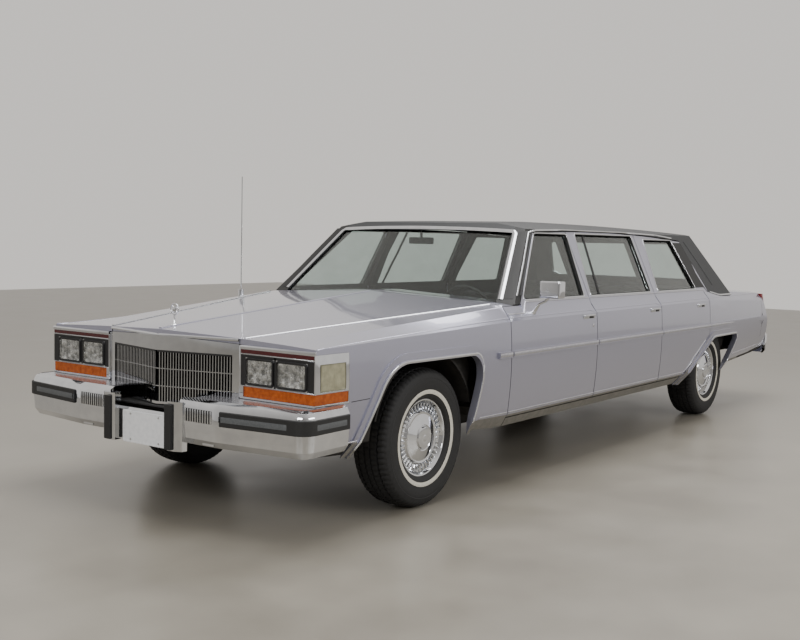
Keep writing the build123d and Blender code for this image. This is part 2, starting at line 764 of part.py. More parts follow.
# Profiles are half sections: (out from the wheel's middle plane, radius).
# The cover has a raised ring, a recessed ring of fins and a domed cap.
wheel_rows = [("front", front_axle, front_track / 2), ("rear", rear_axle, rear_track / 2)]
half_tyre = tyre_width / 2
rim_radius = 190
lip_radius = 205
cover_profile = [
    (-74, rim_radius - 12), (-74, rim_radius), (70, rim_radius), (70, lip_radius), (90, lip_radius - 5),
    (84, 166), (84, 130), (93, 121), (85, 56), (97, 44), (97, 0), (hub_inset, 0),
    (hub_inset, rim_radius - 12),
]
fin_count = 24
shoulder = 20
for place, x, y in wheel_rows:
    axle_line = Axis((x, 0, tyre_radius), (0, 1, 0))
    with BuildPart() as wheel:
        with BuildSketch(wheel_plane(x)):
            Polygon(*[(y + out, radius) for out, radius in cover_profile], align=None)
        revolve(axis=axle_line)
        face = Plane(origin=(x, y + 82, tyre_radius), x_dir=(1, 0, 0), z_dir=(0, 1, 0))
        with BuildSketch(face):
            with PolarLocations(148, fin_count):
                Rectangle(30, 9)
        extrude(amount=9)
    both_sides(place + "_wheel", wheel)
    half_profile = [(70 - clear, rim_radius + clear), (70 - clear, lip_radius + 2), (half_tyre, 262),
                    (half_tyre - 12, tyre_radius - shoulder), (half_tyre - 40, tyre_radius)]
    # the bead on the inner side lies a little further from the middle
    inner_profile = [(74 - clear, radius) if out < 80 else (out, radius) for out, radius in half_profile]
    with BuildPart() as tyre:
        with BuildSketch(wheel_plane(x)):
            outer_side = [(y + out, radius) for out, radius in half_profile]
            inner_side = [(y - out, radius) for out, radius in reversed(inner_profile)]
            Polygon(*outer_side, *inner_side, align=None)
        revolve(axis=axle_line)
    both_sides(place + "_tyre", tyre)

# Rear axle with its differential and the propeller shaft
shaft_z = 268
tube_radius = 42
with BuildPart() as rear_axle_tube:
    hub_face = rear_track / 2 + hub_inset - clear
    with Locations((rear_axle, 0, tyre_radius)):
        Cylinder(tube_radius, 2 * (rear_track / 2 - 100), rotation=(90, 0, 0))
        Cylinder(26, 2 * hub_face, rotation=(90, 0, 0))
        Cylinder(110, 200)
    # coil springs stand on the tube under the rails
    spring_low = tyre_radius + 20
    spring_high = rail_kick_z - rail_half - clear
    for y in (-rail_y, rail_y):
        with Locations((rear_axle, y, (spring_low + spring_high) / 2)):
            Cylinder(48, spring_high - spring_low)
    shaft_front = front_axle - 960 - clear
    with Locations(((rear_axle + shaft_front) / 2, 0, shaft_z)):
        Cylinder(30, shaft_front - rear_axle, rotation=(0, 90, 0))
keep("rear_axle", rear_axle_tube)

# Exhaust on the right: it hangs under the crossmembers and rises over the axle
pipe_radius = 26
pipe_y = -250
muffler_z = 262
with BuildPart() as exhaust:
    low_z = gearbox_low + clear + pipe_radius
    high_z = tyre_radius + tube_radius + pipe_radius + 20
    with BuildLine() as pipe_line:
        Polyline((front_axle - 500, pipe_y, low_z), (rear_axle + 320, pipe_y, low_z),
                 (rear_axle + 110, pipe_y, high_z), (rear_axle - 110, pipe_y, high_z),
                 (rear_axle - 330, pipe_y, 300), (tail + 30, pipe_y, 300))
    with BuildSketch(Plane(origin=(front_axle - 500, pipe_y, low_z), z_dir=(-1, 0, 0))):
        Circle(pipe_radius)
    sweep(path=pipe_line.wires()[0], transition=Transition.RIGHT)
    with Locations((rear_axle + 1150, pipe_y - 15, muffler_z)):
        Box(600, 200, 2 * (302 - clear - muffler_z))
keep("exhaust", exhaust)

with BuildPart() as fuel_tank:
    with Locations((rear_axle - 850, 90, trunk_floor_z - 11 - clear - 72)):
        tank = Box(460, 520, 144)
    fillet(tank.edges().filter_by(Axis.X), 30)
keep("fuel_tank", fuel_tank)

# Interior: dashboard with its column, steering wheel and three benches
wheel_centre = Vector(front_axle - 1190, 370, 880)
column_foot = Vector(front_axle - 880, 370, 770)
column_line = (wheel_centre - column_foot).normalized()
with BuildPart() as dashboard:
    with BuildSketch(Plane.XZ.offset(-740)):
        Polygon((firewall_x - 11 - clear, 700), (firewall_x - 11 - clear, 930), (pillar_foot - 100, 950),
                (pillar_foot - 190, 930), (pillar_foot - 160, 640), align=None)
    extrude(amount=1480)
    with BuildSketch(Plane(origin=column_foot, z_dir=column_line)):
        Circle(24)
    extrude(amount=(wheel_centre - column_foot).length - 14 - clear)
keep("dashboard", dashboard)

with BuildPart() as steering_wheel:
    hub_plane = Plane(origin=wheel_centre, x_dir=(0, 1, 0), z_dir=column_line)
    with BuildSketch(Plane(origin=wheel_centre, x_dir=(0, 1, 0), z_dir=hub_plane.y_dir)):
        with Locations((185, 0)):
            RegularPolygon(13, 6)
    revolve(axis=Axis(wheel_centre, column_line))
    with BuildSketch(hub_plane):
        Circle(45)
        Rectangle(350, 34)
    extrude(amount=14, both=True)
keep("steering_wheel", steering_wheel)

floor_top = floor_mid_z + floor_sheet / 2
seat_rows = [
    # name, front of the cushion, cushion depth, half width, back's run at its foot
    ("front_seat", front_seam - 420, 520, 745, 110),
    ("middle_seat", middle_seam - 430, 520, 745, 110),
    ("rear_seat", back_seam - 330, 480, 612, 38),
]
for name, front_x, depth, half, foot in seat_rows:
    with BuildPart() as seat:
        back_x = front_x - depth
        with BuildSketch(Plane.XZ.offset(-half)) as side:
            Polygon((front_x, 470), (front_x - 10, 580), (back_x, 560), (back_x - 110, 985),
                    (back_x - 220, 985), (back_x - foot, 470), align=None)
            fillet(side.vertices(), 18)
        extrude(amount=2 * half)
        with Locations((front_x - depth / 2 - 20, 0, (floor_top + clear + 475) / 2)):
            Box(depth - 80, 1200, 475 - floor_top - clear)
    keep(name, seat)

# Grille: a pointed header over close upright bars with two thin cross bars.
# Everything follows one V in plan, from the corner posts to the tip.
grille_tip = front_axle + 968
grille_face = front_axle + 866
grille_half = 441.7
grille_low, header_low = 536, 790
bar_pitch = 15
bar_wide, bar_deep = 4.4, 20


def v_face(y):
    return grille_tip - (grille_tip - grille_face) * abs(y) / grille_half


def v_band(half, ahead, depth, low, high):
    edge = v_face(half) + ahead
    tip = grille_tip + ahead
    return plan_prism([(edge, half), (tip, 0), (edge, -half), (edge - depth, -half), (tip - depth - 4, 0),
                       (edge - depth, half)], low, high)


with BuildPart() as grille:
    add(v_band(grille_half, 0, 36, header_low, 900) & body_under)
    add(v_band(grille_half, 0, 36, grille_low, grille_low + 12))
    for side in (-1, 1):
        rows = [(406, grille_half, 0, 36)]
        rows += [(y, y + bar_wide, -5, bar_deep) for y in range(14, 400, bar_pitch)]
        for near, far, ahead, depth in rows:
            near_x, far_x = v_face(near) + ahead, v_face(far) + ahead
            add(plan_prism([(near_x, side * near), (far_x, side * far), (far_x - depth, side * far),
                            (near_x - depth, side * near)], grille_low + 4, header_low + 4))
    for z in (620, 703):
        add(v_band(grille_half - 4, -9, 6, z - 2, z + 2))
keep("grille", grille)

# Lamps: a bezel turns each front corner. It holds two headlamps, a cornering
# lamp on the side and a lower lens that turns the corner as well.
lamp_low, lamp_high = 667, 783
amber_low, amber_high = 607, 655
pocket = 30
side_pocket = 16
bezel_deep = 50
inner_lamp = (half_width - 465, half_width - 301)
outer_lamp = (half_width - 281, half_width - 107)
side_lamp = (front_axle + 668, front_axle + 838)
amber_inner = half_width - 483
skin_line = half_width - 97


def corner_box(back, front, near, far, low, high, gap):
    back, near, far = back + gap, near + gap, far - gap
    return plan_prism([(back, near), (front, near), (front, far), (back, far)], low + gap, high - gap)


def lamp_rooms(gap, front):
    rooms = []
    for near, far in (inner_lamp, outer_lamp):
        rooms.append(corner_box(bezel_face - pocket, front, near, far, lamp_low, lamp_high, gap))
    under_skin = body_solid(side_pocket - gap, 0, 0)
    side_room = plan_prism([(side_lamp[0] + gap, skin_line), (side_lamp[1] - gap, skin_line),
                            (side_lamp[1] - gap, beyond), (side_lamp[0] + gap, beyond)],
                           lamp_low - 4 + gap, lamp_high - gap)
    rooms.append(side_room - under_skin)
    amber_side = plan_prism([(bezel_side_back + 5 + gap, skin_line), (front, skin_line), (front, beyond),
                             (bezel_side_back + 5 + gap, beyond)], amber_low + gap, amber_high - gap)
    rooms.append((amber_side - under_skin)
                 + corner_box(bezel_face - pocket, front, amber_inner, beyond, amber_low, amber_high, gap))
    return rooms


with BuildPart() as bezel:
    plate_back = bezel_face - bezel_deep
    plates = [(body_out, plate_back, grille_half + 10), (body_out - body_in, bezel_side_back, skin_line)]
    for solid, back, near in plates:
        outline = [(back, near), (bezel_face, near), (bezel_face, beyond), (back, beyond)]
        add(solid & plan_prism(outline, bezel_low, bezel_high))
    for room in lamp_rooms(0, nose + 90):
        add(room, mode=Mode.SUBTRACT)
with BuildPart() as lamp_bezels:
    add(bezel.part)
    mirror(bezel.part, about=Plane.XZ)
keep("lamp_bezels", lamp_bezels)
lens_skin = body_solid(4, 0, 0)
with BuildPart() as lamps:
    for room in lamp_rooms(clear, bezel_face - 5):
        add(room & lens_skin)
with BuildPart() as headlamps:
    add(lamps.part)
    mirror(lamps.part, about=Plane.XZ)
keep("headlamps", headlamps)

# Tail lamps: upright blades at the corners
with BuildPart() as blade:
    with BuildSketch(Plane.XZ.offset(-905)) as side:
        Polygon((tail - clear, 604), (tail - clear, 700), (tail + 132, 930), (tail + 90, 930),
                (tail - 42, 700), (tail - 42, 604), align=None)
    extrude(amount=60)
with BuildPart() as tail_lamps:
    add(blade.part)
    add(tail_out, mode=Mode.SUBTRACT)
    mirror(about=Plane.XZ)
keep("tail_lamps", tail_lamps)


# Bumpers: a hollow section is swept round each corner. Its points are
# (out from the line, height), and the line is drawn in plan.
def bumper_line(points, radii, z=0):
    with BuildLine() as line:
        FilletPolyline(*[(x, y, z) for x, y in points], radius=radii)
    return line.wires()[0]


def swept_half(section, points, radii):
    with BuildPart() as half:
        start = points[0]
        with BuildSketch(Plane(origin=(start[0], start[1], 0), x_dir=(0, 1, 0), z_dir=(1, 0, 0))):
            Polygon(*section, align=None)
        sweep(path=bumper_line(points, radii))
    return half.part


front_side_end = front_axle + 690
front_line = [(front_side_end, half_width - 12), (front_axle + 985, half_width - 7), (bumper_face, 470),
              (bumper_face, 240)]
front_section = [(-26, 390), (-5, 420), (0, 488), (0, 566), (-12, 588), (-34, 598), (-34, 574),
                 (-bumper_wall, 560), (-bumper_wall, 428), (-42, 396)]
guard_near, guard_far = 182, 272
with BuildPart() as front_bumper:
    add(swept_half(front_section, front_line, [70, 200]))
    # three slots in a recess between the guard and the strip
    for z in (500, 519, 538):
        with Locations((bumper_face, (guard_far + 10 + 450) / 2, z + 7)):
            Box(20, 450 - guard_far - 10, 14, mode=Mode.SUBTRACT)
    # a mount on each side meets the end of its frame rail
    with Locations(((mount_back + bumper_face - 15) / 2, rail_y, rail_top_front - rail_half)):
        Box(bumper_face - 15 - mount_back, rail_width, 2 * rail_half)
    # the guard's bright post
    post_face = bumper_face + 23
    bumper_back = bumper_face - bumper_wall
    add(plan_prism([(bumper_back, guard_near), (bumper_face + 12, guard_near), (post_face, guard_near + 8),
                    (post_face, guard_far - 34), (bumper_face + 6, guard_far), (bumper_back, guard_far)],
                   352, 578))
    mirror(about=Plane.XZ)
    # the lower middle carries the plate
    add(side_prism([(bumper_face, 360), (bumper_face, 505), (bumper_face - 10, 516), (bumper_face - 80, 516),
                    (bumper_face - 80, 500), (bumper_back, 500), (bumper_back, 360)],
                   -guard_far + 12, guard_far - 12))
    with Locations(Plane(origin=(bumper_face, 0, plate_hole_z), x_dir=(0, 1, 0), z_dir=(1, 0, 0))):
        with Locations((-plate_hole_pitch / 2, 0), (plate_hole_pitch / 2, 0)):
            Hole(plate_hole_radius, depth=bumper_wall)
keep("front_bumper", front_bumper)

rear_line = [(tail - 8, half_width - 42), (rear_bumper_x + 24, half_width - 48), (rear_bumper_x, 0)]
rear_section = [(-20, 400), (0, 425), (0, 560), (-14, 586), (-34, 592), (-34, 572), (-bumper_wall, 560),
                (-bumper_wall, 425), (-36, 400)]
with BuildPart() as rear_bumper:
    add(swept_half(rear_section, rear_line, [60]))
    # a mount on each side meets the end of its frame rail
    with Locations(((rear_mount_x - clear + rear_bumper_x + 20) / 2, rail_y, 415)):
        Box(rear_mount_x - clear - rear_bumper_x - 20, rail_width, 28)
    mirror(about=Plane.XZ)
keep("rear_bumper", rear_bumper)

# Black rubber on the guards' faces, and a strip along each side of the bumper
strip_section = [(clear, 492), (clear, 562), (10, 559), (10, 495)]
strip_share = (500 - 470) / (half_width - 7 - 470)
strip_line = [(front_side_end + 4, front_line[0][1]), front_line[1],
              (bumper_face - strip_share * (bumper_face - front_axle - 985), 500)]
with BuildPart() as bumper_guards:
    add(swept_half(strip_section, strip_line, [70]))
    pad = 40 - 23 - clear
    with Locations((post_face + clear + pad / 2, 208.5, 462)):
        Box(pad, 43, 208)
    mirror(about=Plane.XZ)
keep("bumper_guards", bumper_guards)

# Mirror on the driver's door, and the radio aerial on the other fender
with BuildPart() as door_mirror:
    with Locations((front_axle - 1000, mirror_reach - 65, 1070)):
        head = Box(80, 130, 100)
    chamfer(head.edges(), 12)
    with BuildSketch(Plane(origin=(front_axle - 990, 915, 905), z_dir=(0, 0.7, 0.7))):
        Rectangle(60, 24)
    extrude(amount=190)
    add(body_over, mode=Mode.SUBTRACT)
keep("door_mirror", door_mirror)
with BuildPart() as antenna:
    with Locations((front_axle - 417, -800, 1330)):
        Cylinder(3.5, 726)
    with Locations((front_axle - 417, -800, 975)):
        Cylinder(16, 60)
    add(body_over, mode=Mode.SUBTRACT)
keep("antenna", antenna)

os.makedirs("parts", exist_ok=True)
for name, builder in pieces.items():
    placed = builder.part.moved(Location((0, centre_shift, 0)))
    placed.label = name
    export_step(placed, f"parts/{name}.step")
    print(name, len(placed.solids()), round(placed.volume / 1e6, 2))
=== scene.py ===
import bmesh
import bpy
import json
import math
from mathutils import Matrix, Vector
from mathutils.bvhtree import BVHTree

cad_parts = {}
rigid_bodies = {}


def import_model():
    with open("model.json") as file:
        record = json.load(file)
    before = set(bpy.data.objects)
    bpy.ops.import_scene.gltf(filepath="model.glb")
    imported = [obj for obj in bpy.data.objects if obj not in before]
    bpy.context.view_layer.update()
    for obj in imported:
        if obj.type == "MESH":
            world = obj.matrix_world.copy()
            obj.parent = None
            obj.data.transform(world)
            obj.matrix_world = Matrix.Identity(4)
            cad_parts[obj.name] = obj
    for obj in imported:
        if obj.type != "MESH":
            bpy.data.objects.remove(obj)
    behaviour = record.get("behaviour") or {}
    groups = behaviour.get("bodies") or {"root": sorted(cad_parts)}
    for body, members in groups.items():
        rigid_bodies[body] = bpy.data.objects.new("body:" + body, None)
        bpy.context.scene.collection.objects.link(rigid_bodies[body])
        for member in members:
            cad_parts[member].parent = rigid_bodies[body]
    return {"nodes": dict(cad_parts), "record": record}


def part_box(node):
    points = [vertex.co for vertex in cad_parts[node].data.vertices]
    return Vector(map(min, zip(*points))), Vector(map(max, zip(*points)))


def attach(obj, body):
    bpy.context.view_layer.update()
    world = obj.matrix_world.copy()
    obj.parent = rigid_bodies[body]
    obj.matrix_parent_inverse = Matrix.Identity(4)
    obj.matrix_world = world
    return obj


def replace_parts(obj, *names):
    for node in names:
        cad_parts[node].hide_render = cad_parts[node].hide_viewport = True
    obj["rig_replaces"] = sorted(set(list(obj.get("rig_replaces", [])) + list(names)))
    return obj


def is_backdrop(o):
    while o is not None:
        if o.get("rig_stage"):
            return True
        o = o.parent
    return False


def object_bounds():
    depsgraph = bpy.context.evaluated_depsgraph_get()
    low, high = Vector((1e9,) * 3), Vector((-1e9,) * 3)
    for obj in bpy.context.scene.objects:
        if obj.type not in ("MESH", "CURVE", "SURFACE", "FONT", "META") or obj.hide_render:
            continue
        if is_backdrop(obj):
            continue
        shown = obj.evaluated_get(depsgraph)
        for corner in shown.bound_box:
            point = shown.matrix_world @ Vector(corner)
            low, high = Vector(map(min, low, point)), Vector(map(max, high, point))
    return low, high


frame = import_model()
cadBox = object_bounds()
scene = bpy.context.scene
print("frame loaded, nodes:", len(frame["nodes"]))

# the front axle and the car's centre plane; places below are metres from them
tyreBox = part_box("left_front_tyre")
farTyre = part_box("right_front_tyre")
axleX = (tyreBox[0].x + tyreBox[1].x) / 2
centreY = (tyreBox[1].y + farTyre[0].y) / 2
seams = {"nose": 0.862, "front": -0.704, "middle": -1.768, "back": -2.799,
         "rear": -3.749, "tail": -5.255}
sideParts = (
    ("left_front_fender", "root", "nose", "front"),
    ("left_front_door", "left_front_door", "front", "middle"),
    ("left_middle_door", "left_middle_door", "middle", "back"),
    ("left_rear_door", "left_rear_door", "back", "rear"),
    ("left_quarter_panel", "root", "rear", "tail"),
)


def at(x, y, z):
    return Vector((axleX + x, centreY + y, z))


forward = Vector((1, 0, 0))


def linear(text):
    parts = [int(text[i:i + 2], 16) / 255 for i in (1, 3, 5)]
    return [p / 12.92 if p <= 0.04045 else ((p + 0.055) / 1.055) ** 2.4 for p in parts] + [1.0]


def addNode(tree, kind, values=None, **settings):
    made = tree.nodes.new(kind)
    for key, value in settings.items():
        setattr(made, key, value)
    for key, value in (values or {}).items():
        made.inputs[key].default_value = value
    return made


def wire(tree, *links):
    for source, out, goal, into in links:
        tree.links.new(source.outputs[out], goal.inputs[into])


# a real finish: two tones mixed by noise of a real size, the same noise roughening and denting it
def surface(name, tones, grain, rough, metal=0.0, dent=0.0, stretch=(1, 1, 1), constants=None):
    made = bpy.data.materials.new(name)
    made.use_nodes = True
    tree = made.node_tree
    tree.nodes.clear()
    shader = addNode(tree, "ShaderNodeBsdfPrincipled", {"Metallic": metal})
    for key, value in (constants or {}).items():
        shader.inputs[key].default_value = value
    place = addNode(tree, "ShaderNodeTexCoord")
    scaled = addNode(tree, "ShaderNodeMapping", {"Scale": stretch})
    noise = addNode(tree, "ShaderNodeTexNoise", {"Scale": 1 / grain, "Detail": 4.0})
    tone = addNode(tree, "ShaderNodeValToRGB")
    tone.color_ramp.elements[0].position = 0.3
    tone.color_ramp.elements[1].position = 0.7
    tone.color_ramp.elements[0].color = linear(tones[0])
    tone.color_ramp.elements[1].color = linear(tones[1])
    spread = addNode(tree, "ShaderNodeMapRange", {"To Min": rough[0], "To Max": rough[1]})
    out = addNode(tree, "ShaderNodeOutputMaterial")
    wire(tree, (place, "Object", scaled, "Vector"), (scaled, "Vector", noise, "Vector"),
         (noise, "Fac", tone, "Fac"), (noise, "Fac", spread, "Value"),
         (tone, "Color", shader, "Base Color"), (spread, "Result", shader, "Roughness"))
    if dent:
        bump = addNode(tree, "ShaderNodeBump", {"Strength": 1.0, "Distance": dent})
        wire(tree, (noise, "Fac", bump, "Height"), (bump, "Normal", shader, "Normal"))
    wire(tree, (shader, "BSDF", out, "Surface"))
    return made


# how much light a glass or lens lets through, and its index
def clear(weight, index=1.49):
    return {"Transmission Weight": weight, "IOR": index}


clearCoat = {"Coat Weight": 0.9, "Coat Roughness": 0.04}
# silver metallic under clear lacquer: fine flake; both tones carry a little lavender, a painted reflection of
# the side light laid over the whole paint
paint = surface("silverMetallicLacquer", ("#9D9DAD", "#A9A9B9"), 0.0012, (0.26, 0.34), 0.72,
                constants=clearCoat)
# painted shade: the paint along the lower edge of the body is browner, darker and duller, shade under the
# body with a painted reflection of the floor
shadedLowerPaint = surface("paintedShadeLowerPaint", ("#6F6D68", "#85827B"), 0.03, (0.42, 0.55), 0.4)
# grained vinyl glued over padding: dull charcoal with a leather dent
vinyl = surface("grainedRoofVinyl", ("#28292B", "#38393B"), 0.0035, (0.52, 0.7), dent=0.0006)
# bright plating: nearly a mirror, hazed by fine wiping marks
chrome = surface("polishedChromePlate", ("#D2D4D8", "#DCDEE1"), 0.05, (0.03, 0.07), 1.0)
# brushed plating of the grille header: streaks run across the car
brushed = surface("brushedNickelPlate", ("#86847F", "#A5A29C"), 0.004, (0.25, 0.42), 1.0,
                  stretch=(1, 0.04, 1))
# satin anodised strips along the flanks
satin = surface("satinAnodisedTrim", ("#B4B4BC", "#C9C9CF"), 0.01, (0.18, 0.28), 0.9)
# soft rubber seals and bumper faces: black with a grey bloom
rubber = surface("bloomedBlackRubber", ("#141414", "#202021"), 0.006, (0.5, 0.68), dent=0.0001)
# the lighter band let into the bumper rubber
greyBand = surface("greyRubberBand", ("#4C4F52", "#5C5F61"), 0.008, (0.45, 0.6))
tyreRubber = surface("agedTyreRubber", ("#161617", "#252526"), 0.012, (0.6, 0.8), dent=0.0002)
whitewall = surface("scrubbedWhitewall", ("#C9C5B8", "#DAD7CC"), 0.01, (0.5, 0.62))
# tinted safety glass: the far windows show through it, a shade greyer
glass = surface("tintedSafetyGlass", ("#D3DDDA", "#D9E3E0"), 0.15, (0.0, 0.02),
                constants=clear(1.0, 1.45))
lensGlass = surface("mouldedClearLens", ("#F2F4F4", "#FAFBFB"), 0.004, (0.0, 0.04), dent=0.00005,
                    constants=clear(1.0, 1.5))
cornerGlass = surface("yellowedCornerLens", ("#A9A68A", "#C6C2A4"), 0.03, (0.08, 0.2), dent=0.0008,
                      constants=clear(0.35))
amber = surface("amberMarkerLens", ("#A34408", "#D06614"), 0.02, (0.1, 0.25), dent=0.0004,
                constants=clear(0.25))
redLens = surface("redTailLens", ("#7A0A0C", "#9B1518"), 0.01, (0.1, 0.22), dent=0.0004,
                  constants=clear(0.2))
redStrip = surface("darkRedEnamelStrip", ("#360C0F", "#511519"), 0.006, (0.12, 0.25))
# pressed bowl behind each lamp: bright, with soft folds that break its reflections up; its tone runs in
# blotches from dark grey to near white, painted reflections
reflector = surface("pressedLampReflector", ("#5A5C5C", "#FBFBFA"), 0.026, (0.05, 0.16), 1.0, dent=0.006)
blackTrim = surface("mouldedBlackTrim", ("#0E0E0F", "#1A1A1B"), 0.005, (0.4, 0.6), dent=0.0001)
radiatorBlack = surface("paintedRadiatorCore", ("#060606", "#151515"), 0.003, (0.6, 0.8), stretch=(1, 1, 0.1))
doorCloth = surface("charcoalDoorLining", ("#26272A", "#333438"), 0.004, (0.75, 0.9), dent=0.0003)
seatCloth = surface("charcoalSeatCloth", ("#232427", "#35363A"), 0.003, (0.8, 0.95), dent=0.0004,
                    constants={"Sheen Weight": 0.2})
dashVinyl = surface("grainedDashVinyl", ("#141517", "#202124"), 0.003, (0.5, 0.7), dent=0.0003)
frameSteel = surface("dustyChassisSteel", ("#1C1B1A", "#33302D"), 0.04, (0.6, 0.85), 0.3, dent=0.0003)
castIron = surface("paintedCastIron", ("#1E2226", "#32373C"), 0.02, (0.5, 0.75), 0.4, dent=0.0005)
plateWhite = surface("enamelledPlate", ("#DADCDF", "#E9EAEC"), 0.02, (0.25, 0.4))
print("materials made:", len(bpy.data.materials))


def keep(name, body, bm, materials, sharp=38):
    bmesh.ops.recalc_face_normals(bm, faces=bm.faces)
    mesh = bpy.data.meshes.new(name)
    bm.to_mesh(mesh)
    bm.free()
    for one in materials:
        mesh.materials.append(one)
    mesh.shade_smooth()
    mesh.set_sharp_from_angle(angle=math.radians(sharp))
    made = bpy.data.objects.new(name, mesh)
    scene.collection.objects.link(made)
    if body:
        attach(made, body)
    return made


# vertices nearer than a fiftieth of a millimetre become one
def weld(bm):
    bmesh.ops.remove_doubles(bm, verts=bm.verts, dist=0.00002)


# the mesh as its modifiers leave it
def bake(made):
    mesh = bpy.data.meshes.new_from_object(
        made.evaluated_get(bpy.context.evaluated_depsgraph_get()))
    made.modifiers.clear()
    made.data = mesh
    return mesh


# the piece on the car's left and its mirror image on the right
def both(name, body, bm, materials, sharp=38):
    other = bm.copy()
    for v in other.verts:
        v.co.y = 2 * centreY - v.co.y
    bmesh.ops.reverse_faces(other, faces=other.faces)
    far = keep("right" + name, body.replace("left_", "right_"), other, materials, sharp)
    return keep("left" + name, body, bm, materials, sharp), far


def loop(bm, rings, closed=True, capped=True, look=None):
    rows = [[bm.verts.new(p) for p in ring] for ring in rings]
    count = len(rows[0])
    for i in range(len(rows) - 1):
        for k in range(count if closed else count - 1):
            n = (k + 1) % count
            face = bm.faces.new((rows[i][k], rows[i][n], rows[i + 1][n], rows[i + 1][k]))
            if look:
                face.material_index = look(i, k)
    if capped:
        bm.faces.new(rows[0])
        bm.faces.new(list(reversed(rows[-1])))
    return rows


trees = {}


def treeOf(*nodes):
    if nodes not in trees:
        points = []
        faces = []
        for n in nodes:
            base = len(points)
            mesh = frame["nodes"][n].data
            points += [v.co.copy() for v in mesh.vertices]
            faces += [[base + i for i in p.vertices] for p in mesh.polygons]
        trees[nodes] = BVHTree.FromPolygons(points, faces)
    return trees[nodes]


def turns(count):
    return [2 * math.pi * k / count for k in range(count)]


def resample(corners, step):
    out = [Vector(corners[0])]
    for a, b in zip(corners, corners[1:]):
        a, b = Vector(a), Vector(b)
        n = max(1, int((b - a).length / step))
        out += [a.lerp(b, i / n) for i in range(1, n + 1)]
    return out


castFrom = 0.25  # how far before its guess a ray starts, and how far it reaches
castReach = 0.6


# where a line of guesses lies on a panel, seen along a direction, with the panel's outward normals
def drape(guesses, tree, way=(0, -1, 0)):
    way = Vector(way).normalized()
    found = []
    for g in guesses:
        place, normal = tree.ray_cast(g - way * castFrom, way, castReach)[:2]
        if place is None:
            place, normal = tree.find_nearest(g)[:2]
        if normal.dot(way) > 0:
            normal = -normal
        found.append((place, normal))
    return found


# a thin strip with a crowned face, laid along draped places
def strip(bm, found, half, rise, sink=0.002, closed=False, look=0):
    rings = []
    last = len(found) - 1
    for i, (place, normal) in enumerate(found):
        before = found[(i - 1) % len(found) if closed else max(i - 1, 0)][0]
        after = found[(i + 1) % len(found) if closed else min(i + 1, last)][0]
        along = (after - before).normalized()
        across = along.cross(normal).normalized()
        up = across.cross(along).normalized()
        shape = ((-1, -sink), (-1, 0.45 * rise), (-0.55, 0.92 * rise), (0, rise), (0.55, 0.92 * rise),
                 (1, 0.45 * rise), (1, -sink))
        rings.append([place + across * (half * a) + up * b for a, b in shape])
    if closed:
        rings.append(rings[0])
    loop(bm, rings, capped=not closed, look=lambda i, k: look)
    if closed:
        weld(bm)


# one strip along a path over a panel, with its mirror image on the right
def laid(name, body, finish, path, node, half, rise, step=0.04, sharp=45, **more):
    bm = bmesh.new()
    way = more.get("way", (0, -1, 0))
    strip(bm, drape(resample(path, step), treeOf(node), way), half, rise, more.get("sink", 0.002))
    both(name, body, bm, [finish], sharp)


# a rounded brick between two corners
def brick(bm, low, high, radius=0.003, segments=2, look=0):
    low, high = Vector(low), Vector(high)
    grown = bmesh.ops.create_cube(bm, size=1.0, matrix=Matrix.Translation((low + high) / 2)
                                  @ Matrix.Diagonal((*(high - low), 1)))
    edges = list({e for v in grown["verts"] for e in v.link_edges})
    for face in {f for v in grown["verts"] for f in v.link_faces}:
        face.material_index = look
    bmesh.ops.bevel(bm, geom=edges, offset=radius, segments=segments, profile=0.6, affect="EDGES",
                    material=look)


# bricks given by two corners from the front axle, then radius, segments and finish
def bricks(bm, *rows):
    for low, high, *rest in rows:
        brick(bm, at(*low), at(*high), *rest)
    return bm


# a closed plate whose front and back are height fields over the same grid
def plateGrid(bm, across, down, front, back, look=0):
    sheets = []
    for side in (front, back):
        sheets.append([[bm.verts.new(side(i / across, j / down)) for i in range(across + 1)]
                       for j in range(down + 1)])
    for number, sheet in enumerate(sheets):
        for j in range(down):
            for i in range(across):
                quad = [sheet[j][i], sheet[j][i + 1], sheet[j + 1][i + 1], sheet[j + 1][i]]
                bm.faces.new(quad if number == 0 else list(reversed(quad))).material_index = look
    rims = []
    for sheet in sheets:
        rim = sheet[0][:-1] + [row[-1] for row in sheet[:-1]] + list(reversed(sheet[-1][1:]))
        rims.append(rim + [row[0] for row in reversed(sheet[1:])])
    count = len(rims[0])
    for k in range(count):
        n = (k + 1) % count
        bm.faces.new((rims[1][k], rims[1][n], rims[0][n], rims[0][k])).material_index = look


# a turned piece about the axle: profile of (offset outwards, radius)
def turned(bm, centre, side, profile, steps, look=None, shape=None):
    rings = []
    for k in range(steps + 1):
        angle = 2 * math.pi * (k % steps) / steps
        ring = []
        for i, (offset, radius) in enumerate(profile):
            r = radius + (shape(i, k % steps) if shape else 0)
            ring.append(centre + Vector((r * math.cos(angle), side * offset, r * math.sin(angle))))
        rings.append(ring)
    loop(bm, rings, capped=False, look=look and (lambda i, k: look(k)))
    weld(bm)


# the side moulding is set back a little, to make room for its bright face
mouldingZ = 0.723
mouldingFace = 0.9665
mouldingStep = 0.0026


